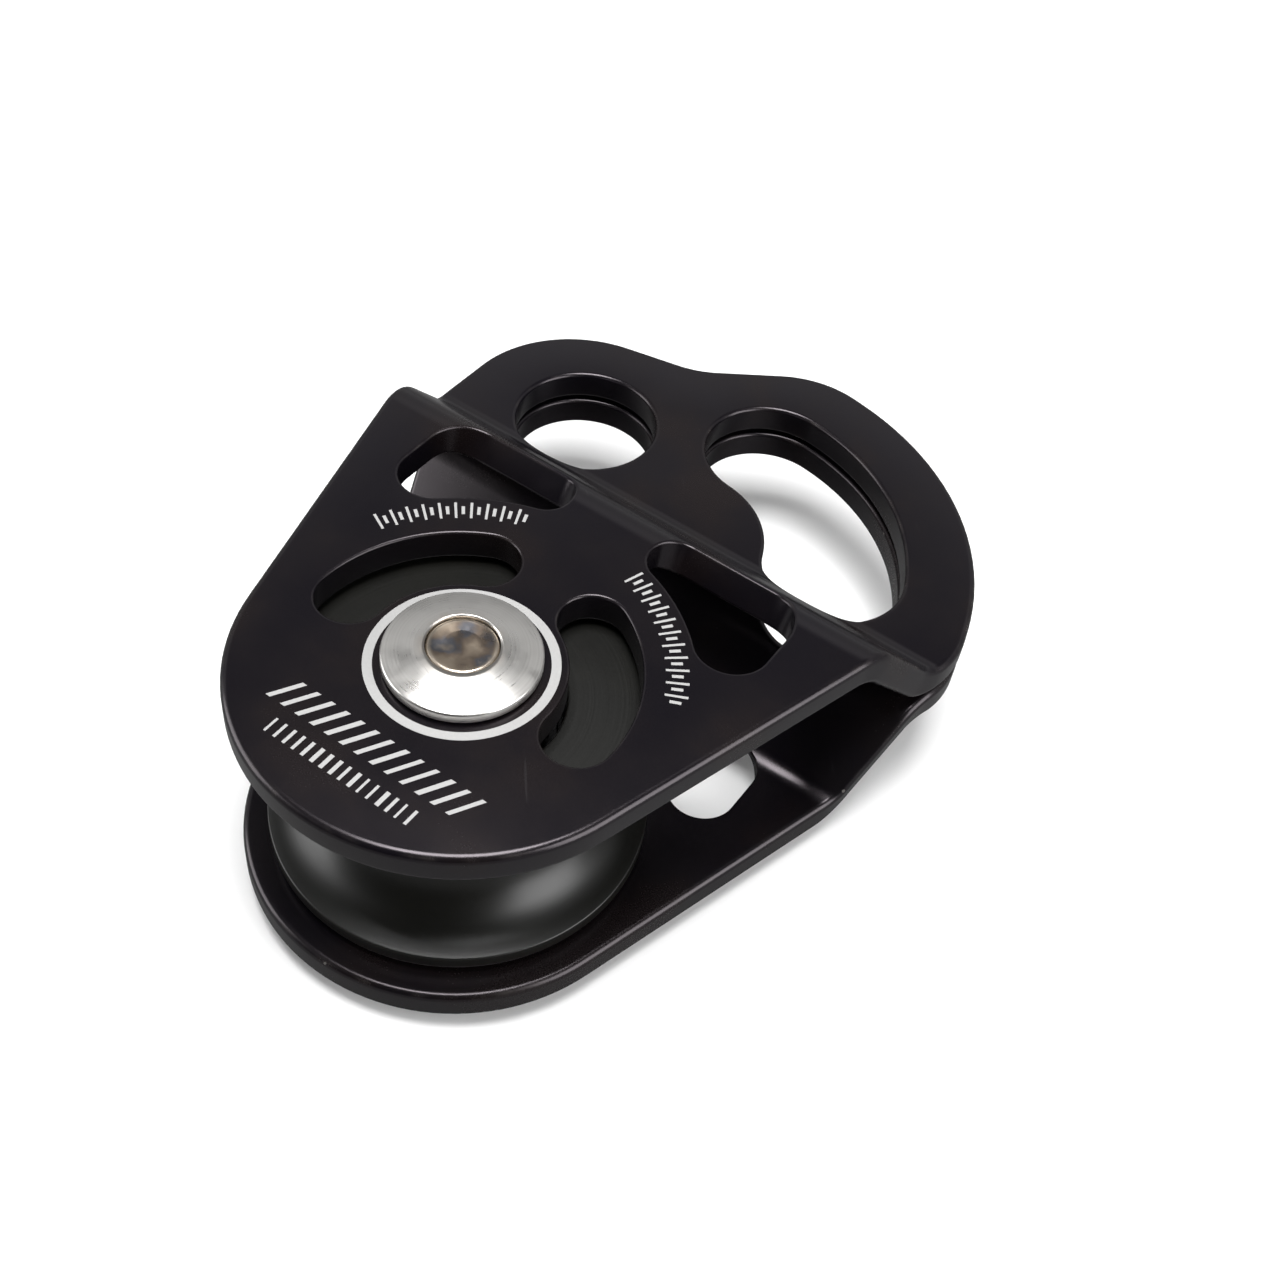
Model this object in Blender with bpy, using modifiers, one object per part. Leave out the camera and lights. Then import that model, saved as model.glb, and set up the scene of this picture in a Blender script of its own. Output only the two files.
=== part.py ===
"""Single sheave block: two swing cheeks, joggled together at a two-eye head, on one riveted axle.

Metres, +Z up. The axle's axis is the Z axis, the head lies towards +Y, and the lower end of
the axle rests on z = 0. The lower half mirrors the upper half in the plane between the cheeks.
"""

import math

import bmesh
import bpy
from mathutils import Matrix, Vector

# Fits
CONTACT_GAP = 0.0003  # between two pieces that touch
RUNNING_GAP = 0.0009  # between the sheave's face and a cheek

# Rope and sheave
SHEAVE_RADIUS = 0.0190
SHEAVE_WIDTH = 0.0180
ROPE_GROOVE_RADIUS = 0.0072
GROOVE_DEPTH = 0.0060
RIM_ROUND = 0.0005

# Cheek sheet
CHEEK_THICKNESS = 0.0034
CHEEK_OVERHANG = 0.0026  # past the sheave's rim, all round the lower end
FLANK_ANGLE = math.radians(16.4)  # each flank leans out from the long axis
HEAD_GAP = 0.0006  # between the two heads
BEND_CLEARANCE = 0.0046  # from the sheave's rim to the first bend
BEND_RADIUS = 0.0050  # to the middle of the sheet
BEND_ANGLE = math.radians(46)
BEND_STEPS = 4

# Head outline and eyes; each eye is placed from the axle's line and the foot of the joggle
HEAD_HALF_WIDTH = 0.0327
LARGE_EYE_PLACE = (0.0002, -0.0019)
LARGE_EYE_RADIUS = 0.0184  # to the middle of the curved slot
LARGE_EYE_WIDTH = 0.0155
LARGE_EYE_ANGLES = (math.radians(22), math.radians(83))
LARGE_LOBE_WALL = 0.0077
LARGE_LOBE_ANGLES = (math.radians(15), math.radians(80))
LARGE_SHOULDER_ROUND = 0.0110
CREST_ROUND = 0.0118
WAIST_ANGLE = math.radians(37)  # slope from the small lobe up to the crest
WAIST_CLEARANCE = 0.0067  # from the large eye's upper end to that slope
WAIST_ROUND = 0.0110
SMALL_EYE_PLACE = (-0.0172, 0.0069)
SMALL_EYE_RADIUS = 0.0081
SMALL_LOBE_WALL = 0.0068
SMALL_LOBE_SLOPE = math.radians(12.5)
SMALL_LOBE_ROUND = 0.0145
SMALL_SHOULDER_ROUND = 0.0220

# Lightening slots in the cheeks
KIDNEY_RADIUS = 0.01325
KIDNEY_WIDTH = 0.0068
KIDNEY_ANGLES = (math.radians(119), math.radians(181))
CORNER_SLOT_WALL = 0.0051  # between a kidney slot and a corner slot
CORNER_SLOT_TOP = 0.0261
CORNER_SLOT_OUTER = 0.0218
CORNER_SLOT_TOE_ROUND = 0.00285
CORNER_SLOT_HEEL_ROUND = 0.0037
CORNER_SLOT_TOP_ROUND = 0.0042

# Axle and what is threaded on it
AXLE_RADIUS = 0.0050
JOURNAL_RADIUS = 0.0040
RIVET_RADIUS = 0.0034
RIVET_PROUD = 0.0024  # of the cheek's outer face
RIVET_DISH = 0.0002
BUSH_WALL = 0.0010
THRUST_WASHER_RADIUS = 0.0090
SPACER_RADIUS = 0.0070
DOME_RADIUS = 0.00745
DOME_RIM = 0.0008
DOME_HEIGHT = 0.0021

# Ball bearing
BEARING_WIDTH = 0.0080
BEARING_RADIUS = 0.0110
INNER_RING_WALL = 0.0014
OUTER_RING_WALL = 0.0017
BALL_RADIUS = 0.0016
BALL_COUNT = 9
RACE_GAP = 0.00015
CAGE_WALL = 0.0012
CAGE_DEPTH = 0.0026
CAGE_LIP = 0.0006
SHIELD_THICKNESS = 0.0004
RING_CHAMFER = 0.0003
SHEAVE_SHOULDER = 0.0014  # stands in from the bearing's seat
RETAINING_RING_THICKNESS = 0.0010
RETAINING_RING_WALL = 0.0018
RETAINING_GROOVE_DEPTH = 0.0007
RETAINING_RING_OPENING = math.radians(34)

# Facets
FINE_STEPS = 48
SMALL_STEPS = 32
BALL_STEPS = 12
BALL_RINGS = 8
ARC_STEP = math.radians(11)
WIDE_ARC_STEP = math.radians(7)

MERGE_DISTANCE = 1e-6

# Levels along the axle
CHEEK_SPACING = SHEAVE_WIDTH + 2 * RUNNING_GAP
LOWER_OUTER_FACE = RIVET_PROUD
MIDDLE = LOWER_OUTER_FACE + CHEEK_THICKNESS + CHEEK_SPACING / 2
INNER_FACE = CHEEK_SPACING / 2  # from the middle plane
OUTER_FACE = INNER_FACE + CHEEK_THICKNESS
JOURNAL_START = INNER_FACE - RUNNING_GAP - CONTACT_GAP
JOGGLE_DROP = INNER_FACE - HEAD_GAP / 2

# Joggle: a bend, a straight stretch and the opposite bend
BEND_START = SHEAVE_RADIUS + BEND_CLEARANCE
BEND_RUN = BEND_RADIUS * math.sin(BEND_ANGLE)
BEND_DROP = BEND_RADIUS * (1 - math.cos(BEND_ANGLE))
STRAIGHT_RUN = (JOGGLE_DROP - 2 * BEND_DROP) / math.tan(BEND_ANGLE)
JOGGLE_END = BEND_START + 2 * BEND_RUN + STRAIGHT_RUN

CHEEK_END_RADIUS = SHEAVE_RADIUS + CHEEK_OVERHANG
GROOVE_ROOT_RADIUS = SHEAVE_RADIUS - GROOVE_DEPTH
LARGE_EYE_CENTRE = Vector(LARGE_EYE_PLACE) + Vector((0, JOGGLE_END))
SMALL_EYE_CENTRE = Vector(SMALL_EYE_PLACE) + Vector((0, JOGGLE_END))

BUSH_INNER_RADIUS = JOURNAL_RADIUS + CONTACT_GAP
BUSH_OUTER_RADIUS = BUSH_INNER_RADIUS + BUSH_WALL
CHEEK_BORE_RADIUS = BUSH_OUTER_RADIUS + CONTACT_GAP
BEARING_SEAT_RADIUS = BEARING_RADIUS + CONTACT_GAP
SHAFT_BORE_RADIUS = AXLE_RADIUS + CONTACT_GAP
INNER_LAND_RADIUS = SHAFT_BORE_RADIUS + INNER_RING_WALL
OUTER_LAND_RADIUS = BEARING_RADIUS - OUTER_RING_WALL
PITCH_RADIUS = (INNER_LAND_RADIUS + OUTER_LAND_RADIUS) / 2
RACE_RADIUS = BALL_RADIUS + RACE_GAP


def clear_scene():
    for item in list(bpy.data.objects):
        bpy.data.objects.remove(item, do_unlink=True)


def new_collection(name):
    collection = bpy.data.collections.new(name)
    bpy.context.scene.collection.children.link(collection)
    return collection


def new_material(name, colour, roughness, metallic):
    material = bpy.data.materials.new(name)
    material.use_nodes = True
    shader = material.node_tree.nodes["Principled BSDF"]
    shader.inputs["Base Color"].default_value = (*colour, 1)
    shader.inputs["Roughness"].default_value = roughness
    shader.inputs["Metallic"].default_value = metallic
    return material


def add_object(name, mesh, collection, material=None, parent=None, height=0.0):
    item = bpy.data.objects.new(name, mesh)
    collection.objects.link(item)
    item.location.z = height
    item.parent = parent
    if material:
        mesh.materials.append(material)
        mesh.shade_smooth()
        mesh.set_sharp_from_angle(angle=math.radians(35))
    return item


def add_axis(name, collection, parent=None, height=0.0):
    axis = bpy.data.objects.new(name, None)
    axis.empty_display_size = SHEAVE_RADIUS
    collection.objects.link(axis)
    axis.location.z = height
    axis.parent = parent
    return axis


def arc(centre, radius, start, end, step=ARC_STEP):
    """Points from angle start to angle end, both ends kept."""
    count = max(2, math.ceil(abs(end - start) / step))
    angles = (start + (end - start) * i / count for i in range(count + 1))
    return [(centre[0] + radius * math.cos(a), centre[1] + radius * math.sin(a)) for a in angles]


def unit(angle):
    return Vector((math.cos(angle), math.sin(angle)))


def crossing(line_a, line_b):
    """Where two lines meet. A line is (unit normal, distance from the axle)."""
    (na, da), (nb, db) = line_a, line_b
    det = na.x * nb.y - na.y * nb.x
    return Vector(((da * nb.y - db * na.y) / det, (na.x * db - nb.x * da) / det))


def rounded_outline(corners):
    """A closed outline from (point, radius) corners, each rounded to its radius."""
    points = []
    for i, (corner, radius) in enumerate(corners):
        back = (corners[i - 1][0] - corner).normalized()
        ahead = (corners[(i + 1) % len(corners)][0] - corner).normalized()
        half = back.angle(ahead) / 2
        reach = radius / math.tan(half)
        centre = corner + (back + ahead).normalized() * radius / math.sin(half)
        first, last = corner + back * reach - centre, corner + ahead * reach - centre
        start = math.atan2(first.y, first.x)
        turn = (math.atan2(last.y, last.x) - start + math.pi) % (2 * math.pi) - math.pi
        step = WIDE_ARC_STEP if radius > CHEEK_THICKNESS * 5 else ARC_STEP
        points += arc(centre, radius, start, start + turn, step)
    return points


def cheek_outline():
    flank_normal = unit(-FLANK_ANGLE)
    right_flank = (flank_normal, CHEEK_END_RADIUS)
    left_flank = (Vector((-flank_normal.x, flank_normal.y)), CHEEK_END_RADIUS)
    lobe_radius = LARGE_EYE_RADIUS + LARGE_EYE_WIDTH / 2 + LARGE_LOBE_WALL
    lobe_lines = []
    for angle in LARGE_LOBE_ANGLES:
        normal = unit(angle)
        lobe_lines.append((normal, lobe_radius + LARGE_EYE_CENTRE.dot(normal)))
    waist_normal = unit(WAIST_ANGLE + math.pi / 2)
    upper_end = LARGE_EYE_CENTRE + unit(LARGE_EYE_ANGLES[1]) * LARGE_EYE_RADIUS
    waist_line = (
        waist_normal,
        upper_end.dot(waist_normal) + LARGE_EYE_WIDTH / 2 + WAIST_CLEARANCE,
    )
    small_normal = unit(SMALL_LOBE_SLOPE + math.pi / 2)
    small_reach = SMALL_EYE_RADIUS + SMALL_LOBE_WALL
    small_line = (small_normal, SMALL_EYE_CENTRE.dot(small_normal) + small_reach)
    side_line = (Vector((-1, 0)), HEAD_HALF_WIDTH)
    foot = Vector((0, -CHEEK_END_RADIUS / math.sin(FLANK_ANGLE)))
    return rounded_outline([
        (foot, CHEEK_END_RADIUS),
        (crossing(right_flank, lobe_lines[0]), LARGE_SHOULDER_ROUND),
        (crossing(*lobe_lines), lobe_radius),
        (crossing(lobe_lines[1], waist_line), CREST_ROUND),
        (crossing(waist_line, small_line), WAIST_ROUND),
        (crossing(small_line, side_line), SMALL_LOBE_ROUND),
        (crossing(side_line, left_flank), SMALL_SHOULDER_ROUND),
    ])


def curved_slot(centre, radius, width, angles):
    """A slot of constant width along an arc, with round ends."""
    start, end = angles
    half = width / 2
    points = arc(centre, radius + half, start, end)
    points += arc(centre + unit(end) * radius, half, end, end + math.pi)[1:-1]
    points += arc(centre, radius - half, end, start)
    points += arc(centre + unit(start) * radius, half, start + math.pi, start + 2 * math.pi)[1:-1]
    return points


def corner_slot():
    """A toe, a heel and an upper corner, all round; the side facing the axle is an arc about it."""
    wall_radius = KIDNEY_RADIUS + KIDNEY_WIDTH / 2 + CORNER_SLOT_WALL
    toe, heel, top = CORNER_SLOT_TOE_ROUND, CORNER_SLOT_HEEL_ROUND, CORNER_SLOT_TOP_ROUND
    toe_y = CORNER_SLOT_TOP - toe
    toe_x = math.sqrt((wall_radius + toe) ** 2 - toe_y**2)
    heel_x = CORNER_SLOT_OUTER - heel
    heel_y = math.sqrt((wall_radius + heel) ** 2 - heel_x**2)
    toe_angle = math.atan2(toe_y, toe_x)
    heel_angle = math.atan2(heel_y, heel_x)
    points = arc((toe_x, toe_y), toe, math.pi / 2, math.pi + toe_angle)
    points += arc((0, 0), wall_radius, toe_angle, heel_angle)[1:-1]
    points += arc((heel_x, heel_y), heel, heel_angle + math.pi, 2 * math.pi)
    points += arc((CORNER_SLOT_OUTER - top, CORNER_SLOT_TOP - top), top, 0, math.pi / 2)
    return points


def mirrored(points):
    return [(-x, y) for x, y in reversed(points)]


def circle(centre, radius, steps):
    return arc(centre, radius, 0, 2 * math.pi, 2 * math.pi / steps)[:-1]


def without_repeats(points):
    """The same outline with each point once."""
    kept = []
    for point in points:
        if not kept or math.dist(point, kept[-1]) > MERGE_DISTANCE * 10:
            kept.append(point)
    if math.dist(kept[0], kept[-1]) < MERGE_DISTANCE * 10:
        kept.pop()
    return kept


def flat_sheet(outlines, thickness):
    """A mesh of a flat sheet cut to its outlines, centred on z = 0."""
    curve = bpy.data.curves.new("sheet_outline", "CURVE")
    curve.dimensions = "2D"
    curve.fill_mode = "BOTH"
    curve.extrude = thickness / 2
    for outline in outlines:
        points = without_repeats(outline)
        spline = curve.splines.new("POLY")
        spline.points.add(len(points) - 1)
        for point, (x, y) in zip(spline.points, points):
            point.co = (x, y, 0, 1)
        spline.use_cyclic_u = True
    holder = bpy.data.objects.new("sheet_outline", curve)
    bpy.context.scene.collection.objects.link(holder)
    graph = bpy.context.evaluated_depsgraph_get()
    mesh = bpy.data.meshes.new_from_object(holder.evaluated_get(graph))
    bpy.data.objects.remove(holder, do_unlink=True)
    return mesh


def joggled(point):
    """Where a point of the flat sheet goes when the sheet is bent down to the head's level."""
    along = point.y - BEND_START
    from_end = JOGGLE_END - point.y
    if along <= 0:
        tilt, drop = 0.0, 0.0
    elif along < BEND_RUN:
        tilt = math.asin(along / BEND_RADIUS)
        drop = BEND_RADIUS * (1 - math.cos(tilt))
    elif from_end > BEND_RUN:
        tilt = BEND_ANGLE
        drop = BEND_DROP + (along - BEND_RUN) * math.tan(BEND_ANGLE)
    elif from_end > 0:
        tilt = math.asin(from_end / BEND_RADIUS)
        drop = JOGGLE_DROP - BEND_RADIUS * (1 - math.cos(tilt))
    else:
        tilt, drop = 0.0, JOGGLE_DROP
    return Vector((
        point.x,
        point.y + point.z * math.sin(tilt),
        point.z * math.cos(tilt) - drop,
    ))


def bend_lines():
    tilts = [BEND_ANGLE * i / BEND_STEPS for i in range(BEND_STEPS + 1)]
    reaches = [BEND_RADIUS * math.sin(tilt) for tilt in tilts]
    return [BEND_START + reach for reach in reaches] + [JOGGLE_END - reach for reach in reaches]


def cheek_mesh():
    """The upper cheek, its flat part centred on z = 0."""
    axle_centre = Vector((0, 0))
    kidney = curved_slot(axle_centre, KIDNEY_RADIUS, KIDNEY_WIDTH, KIDNEY_ANGLES)
    corner = corner_slot()
    large_eye = curved_slot(
        LARGE_EYE_CENTRE, LARGE_EYE_RADIUS, LARGE_EYE_WIDTH, LARGE_EYE_ANGLES
    )
    mesh = flat_sheet(
        [
            cheek_outline(),
            circle(axle_centre, CHEEK_BORE_RADIUS, SMALL_STEPS),
            kidney,
            mirrored(kidney),
            corner,
            mirrored(corner),
            circle(SMALL_EYE_CENTRE, SMALL_EYE_RADIUS, SMALL_STEPS),
            large_eye,
        ],
        CHEEK_THICKNESS,
    )
    work = bmesh.new()
    work.from_mesh(mesh)
    bmesh.ops.remove_doubles(work, verts=work.verts, dist=MERGE_DISTANCE)
    for y in bend_lines():
        bmesh.ops.bisect_plane(
            work,
            geom=work.verts[:] + work.edges[:] + work.faces[:],
            dist=MERGE_DISTANCE * 10,
            plane_co=(0, y, 0),
            plane_no=(0, 1, 0),
        )
    bmesh.ops.triangulate(work, faces=work.faces)
    for vert in work.verts:
        vert.co = joggled(vert.co)
    bmesh.ops.recalc_face_normals(work, faces=work.faces)
    work.to_mesh(mesh)
    work.free()
    return mesh


def turned(name, profile, collection, material, steps, parent=None, height=0.0):
    """A turned piece from (radius, height) points that run round its section."""
    area = sum(
        a[0] * b[1] - b[0] * a[1] for a, b in zip(profile, profile[1:] + profile[:1])
    )
    ordered = profile if area < 0 else profile[::-1]
    mesh = bpy.data.meshes.new(name)
    work = bmesh.new()
    verts = [work.verts.new((radius, 0, z)) for radius, z in ordered]
    for a, b in zip(verts, verts[1:] + verts[:1]):
        if not (a.co.x == 0 and b.co.x == 0):
            work.edges.new((a, b))
    work.to_mesh(mesh)
    work.free()
    item = add_object(name, mesh, collection, material, parent, height)
    screw = item.modifiers.new("turn", "SCREW")
    screw.axis = "Z"
    screw.steps = screw.render_steps = steps
    screw.use_merge_vertices = True
    screw.merge_threshold = MERGE_DISTANCE
    return item


def chamfered_ring(inner, outer, bottom, top, chamfer=0.0):
    if not chamfer:
        return [(outer, top), (outer, bottom), (inner, bottom), (inner, top)]
    return [
        (outer - chamfer, top),
        (outer, top - chamfer),
        (outer, bottom + chamfer),
        (outer - chamfer, bottom),
        (inner + chamfer, bottom),
        (inner, bottom + chamfer),
        (inner, top - chamfer),
        (inner + chamfer, top),
    ]


def sheave_profile():
    half = SHEAVE_WIDTH / 2
    centre_radius = GROOVE_ROOT_RADIUS + ROPE_GROOVE_RADIUS
    reach = math.acos((centre_radius - SHEAVE_RADIUS + RIM_ROUND) / ROPE_GROOVE_RADIUS)
    seat_end = BEARING_WIDTH / 2 + CONTACT_GAP
    ring_end = seat_end + RETAINING_RING_THICKNESS + CONTACT_GAP
    groove_radius = BEARING_SEAT_RADIUS + RETAINING_GROOVE_DEPTH
    shoulder_radius = BEARING_SEAT_RADIUS - SHEAVE_SHOULDER
    groove = arc((centre_radius, 0), ROPE_GROOVE_RADIUS, math.pi - reach, math.pi + reach)
    lip = groove[0][1]
    return [
        (SHEAVE_RADIUS - RIM_ROUND, half),
        (SHEAVE_RADIUS, half - RIM_ROUND),
        (SHEAVE_RADIUS, lip + RIM_ROUND),
        *groove,
        (SHEAVE_RADIUS, -lip - RIM_ROUND),
        (SHEAVE_RADIUS, -half + RIM_ROUND),
        (SHEAVE_RADIUS - RIM_ROUND, -half),
        (BEARING_SEAT_RADIUS, -half),
        (BEARING_SEAT_RADIUS, -ring_end),
        (groove_radius, -ring_end),
        (groove_radius, -seat_end),
        (BEARING_SEAT_RADIUS, -seat_end),
        (BEARING_SEAT_RADIUS, seat_end),
        (shoulder_radius, seat_end),
        (shoulder_radius, half),
    ]


def axle_profile():
    end = OUTER_FACE + RIVET_PROUD
    neck = OUTER_FACE
    return [
        (0, end - RIVET_DISH),
        (RIVET_RADIUS * 0.6, end - RIVET_DISH),
        (RIVET_RADIUS * 0.85, end),
        (RIVET_RADIUS, end - RIVET_DISH),
        (RIVET_RADIUS, neck),
        (JOURNAL_RADIUS, neck),
        (JOURNAL_RADIUS, JOURNAL_START),
        (AXLE_RADIUS, JOURNAL_START),
        (AXLE_RADIUS, -JOURNAL_START),
        (JOURNAL_RADIUS, -JOURNAL_START),
        (JOURNAL_RADIUS, -neck),
        (RIVET_RADIUS, -neck),
        (RIVET_RADIUS, -end),
        (0, -end),
    ]


def dome_profile():
    """A domed washer, its flat underside on z = 0."""
    bore = RIVET_RADIUS + CONTACT_GAP
    rise = DOME_HEIGHT - DOME_RIM
    base = (DOME_RADIUS**2 - bore**2 - rise**2) / (2 * rise)
    sphere = math.hypot(DOME_RADIUS, base)
    start = math.atan2(base, DOME_RADIUS)
    end = math.acos(bore / sphere)
    cap = arc((0, DOME_RIM - base), sphere, end, start, (end - start) / 6)
    return [*cap, (DOME_RADIUS, 0), (bore, 0)]


def race_groove(land_radius, middle):
    """The ball groove of a bearing ring; middle is the direction of its deepest point."""
    reach = math.acos(abs(land_radius - PITCH_RADIUS) / RACE_RADIUS)
    return arc((PITCH_RADIUS, 0), RACE_RADIUS, middle - reach, middle + reach)


def inner_ring_profile():
    half = BEARING_WIDTH / 2
    return [
        (INNER_LAND_RADIUS, half),
        *race_groove(INNER_LAND_RADIUS, math.pi),
        (INNER_LAND_RADIUS, -half),
        (SHAFT_BORE_RADIUS, -half),
        (SHAFT_BORE_RADIUS, half),
    ]


def outer_ring_profile():
    half = BEARING_WIDTH / 2
    return [
        (BEARING_RADIUS - RING_CHAMFER, half),
        (BEARING_RADIUS, half - RING_CHAMFER),
        (BEARING_RADIUS, -half + RING_CHAMFER),
        (BEARING_RADIUS - RING_CHAMFER, -half),
        (OUTER_LAND_RADIUS, -half),
        *race_groove(OUTER_LAND_RADIUS, 0),
        (OUTER_LAND_RADIUS, half),
    ]


def ball_mesh(name, radius):
    mesh = bpy.data.meshes.new(name)
    work = bmesh.new()
    bmesh.ops.create_uvsphere(work, u_segments=BALL_STEPS, v_segments=BALL_RINGS, radius=radius)
    work.to_mesh(mesh)
    work.free()
    return mesh


def add_cutter(name, mesh, cutters, parent, location):
    cutter = bpy.data.objects.new(name, mesh)
    cutters.objects.link(cutter)
    cutter.parent = parent
    cutter.location = location
    cutter.hide_render = True
    cutter.display_type = "WIRE"
    return cutter


def cut(item, cutter):
    boolean = item.modifiers.new(cutter.name, "BOOLEAN")
    boolean.operation = "DIFFERENCE"
    boolean.solver = "EXACT"
    boolean.object = cutter


def add_cheeks(parts, finishes, lower_axis, upper_axis):
    mesh = cheek_mesh()
    level = INNER_FACE + CHEEK_THICKNESS / 2
    upper = add_object("upper_cheek", mesh, parts, finishes["anodised"], upper_axis, level)
    lower_mesh = mesh.copy()
    lower_mesh.transform(Matrix.Scale(-1, 4, Vector((0, 0, 1))))
    lower_mesh.flip_normals()
    lower = bpy.data.objects.new("lower_cheek", lower_mesh)
    parts.objects.link(lower)
    lower.parent = lower_axis
    lower.location.z = -level
    return upper, lower


def add_bushes(parts, finishes, lower_axis, upper_axis):
    profile = chamfered_ring(
        BUSH_INNER_RADIUS, BUSH_OUTER_RADIUS, -CHEEK_THICKNESS / 2, CHEEK_THICKNESS / 2
    )
    level = INNER_FACE + CHEEK_THICKNESS / 2
    for name, axis, side in (("upper_bush", upper_axis, 1), ("lower_bush", lower_axis, -1)):
        turned(name, profile, parts, finishes["bronze"], SMALL_STEPS, axis, side * level)


def add_axle_pieces(parts, finishes, axis):
    turned("axle", axle_profile(), parts, finishes["rivet"], FINE_STEPS, axis)
    washer = chamfered_ring(
        BUSH_INNER_RADIUS,
        THRUST_WASHER_RADIUS,
        INNER_FACE - RUNNING_GAP,
        INNER_FACE - CONTACT_GAP,
    )
    spacer = chamfered_ring(
        SHAFT_BORE_RADIUS,
        SPACER_RADIUS,
        BEARING_WIDTH / 2 + CONTACT_GAP,
        JOURNAL_START,
    )
    dome_level = OUTER_FACE + CONTACT_GAP
    dome = [(radius, z + dome_level) for radius, z in dome_profile()]
    for place, side in (("upper", 1), ("lower", -1)):
        for name, profile, finish, steps in (
            ("dome_washer", dome, "polished", FINE_STEPS),
            ("thrust_washer", washer, "acetal", SMALL_STEPS),
            ("spacer", spacer, "steel", SMALL_STEPS),
        ):
            placed = [(radius, side * z) for radius, z in profile]
            turned(f"{place}_{name}", placed, parts, finishes[finish], steps, axis)


def add_sheave(parts, finishes, axis):
    return turned("sheave", sheave_profile(), parts, finishes["sheave"], FINE_STEPS, axis)


def add_bearing(parts, finishes, axle_axis, sheave_axis):
    steel, rubber = finishes["steel"], finishes["rubber"]
    inner, outer = inner_ring_profile(), outer_ring_profile()
    turned("bearing_inner_ring", inner, parts, steel, SMALL_STEPS, axle_axis)
    turned("bearing_outer_ring", outer, parts, steel, SMALL_STEPS, sheave_axis)
    face = BEARING_WIDTH / 2
    shield = chamfered_ring(
        INNER_LAND_RADIUS + CONTACT_GAP,
        OUTER_LAND_RADIUS - CONTACT_GAP,
        face - SHIELD_THICKNESS,
        face,
    )
    for place, side in (("upper", 1), ("lower", -1)):
        placed = [(radius, side * z) for radius, z in shield]
        turned(f"{place}_bearing_shield", placed, parts, rubber, SMALL_STEPS, sheave_axis)


def add_balls_and_cage(parts, cutters, finishes, axis):
    cage_ring = chamfered_ring(
        PITCH_RADIUS - CAGE_WALL / 2, PITCH_RADIUS + CAGE_WALL / 2, -CAGE_DEPTH, CAGE_LIP
    )
    cage = turned("bearing_cage", cage_ring, parts, finishes["acetal"], BALL_COUNT * 6, axis)
    ball = ball_mesh("bearing_ball", BALL_RADIUS)
    pocket = ball_mesh("ball_pocket", RACE_RADIUS)
    for i in range(BALL_COUNT):
        x, y = unit(2 * math.pi * i / BALL_COUNT) * PITCH_RADIUS
        item = add_object(f"bearing_ball_{i + 1}", ball.copy(), parts, finishes["steel"], axis)
        item.location = (x, y, 0)
        cut(cage, add_cutter(f"ball_pocket_{i + 1}", pocket, cutters, axis, (x, y, 0)))


def add_retaining_ring(parts, finishes, axis):
    """A spring ring, open at one side, in the groove below the bearing."""
    top = -BEARING_WIDTH / 2 - 2 * CONTACT_GAP
    outer = BEARING_SEAT_RADIUS + RETAINING_GROOVE_DEPTH - CONTACT_GAP
    inner = outer - RETAINING_RING_WALL
    middle = (inner + outer) / 2
    half_open = RETAINING_RING_OPENING / 2
    outline = curved_slot(
        Vector((0, 0)), middle, outer - inner, (half_open, 2 * math.pi - half_open)
    )
    thickness = RETAINING_RING_THICKNESS - CONTACT_GAP
    mesh = flat_sheet([outline], thickness)
    work = bmesh.new()
    work.from_mesh(mesh)
    bmesh.ops.remove_doubles(work, verts=work.verts, dist=MERGE_DISTANCE)
    bmesh.ops.triangulate(work, faces=work.faces)
    bmesh.ops.recalc_face_normals(work, faces=work.faces)
    work.to_mesh(mesh)
    work.free()
    add_object("retaining_ring", mesh, parts, finishes["steel"], axis, top - thickness / 2)


def main():
    clear_scene()
    parts = new_collection("single_sheave_block")
    cutters = new_collection("cutters")
    finishes = {
        "anodised": new_material("black_anodised", (0.012, 0.012, 0.014), 0.32, 0.85),
        "sheave": new_material("grey_anodised", (0.055, 0.056, 0.05), 0.42, 0.8),
        "polished": new_material("polished_stainless", (0.72, 0.72, 0.71), 0.12, 1.0),
        "rivet": new_material("axle_steel", (0.45, 0.40, 0.35), 0.28, 1.0),
        "steel": new_material("bearing_steel", (0.55, 0.55, 0.56), 0.18, 1.0),
        "bronze": new_material("bush_bronze", (0.45, 0.28, 0.12), 0.4, 1.0),
        "acetal": new_material("white_acetal", (0.75, 0.75, 0.72), 0.45, 0.0),
        "rubber": new_material("seal_rubber", (0.02, 0.02, 0.02), 0.6, 0.0),
    }
    lower_axis = add_axis("lower_cheek_axis", parts, height=MIDDLE)
    axle_axis = add_axis("axle_axis", parts, lower_axis)
    upper_axis = add_axis("upper_cheek_axis", parts, axle_axis)
    sheave_axis = add_axis("sheave_axis", parts, axle_axis)
    cage_axis = add_axis("cage_axis", parts, axle_axis)
    add_cheeks(parts, finishes, lower_axis, upper_axis)
    add_bushes(parts, finishes, lower_axis, upper_axis)
    add_axle_pieces(parts, finishes, axle_axis)
    add_sheave(parts, finishes, sheave_axis)
    add_bearing(parts, finishes, axle_axis, sheave_axis)
    add_balls_and_cage(parts, cutters, finishes, cage_axis)
    add_retaining_ring(parts, finishes, sheave_axis)


main()
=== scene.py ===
"""Single sheave block: the visual model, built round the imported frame.

Metres, +Z up. The axle's axis is the Z axis and the head lies towards +Y. Levels and radii along
the axle are read from the frame; the cheeks' outlines repeat the design's own sizes. The lower
half mirrors the upper half in the plane between the cheeks.
"""

import logging
import math
from collections.abc import Sequence
from dataclasses import dataclass, field
from enum import Enum

import bmesh
import bpy
from mathutils import Matrix, Vector


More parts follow.
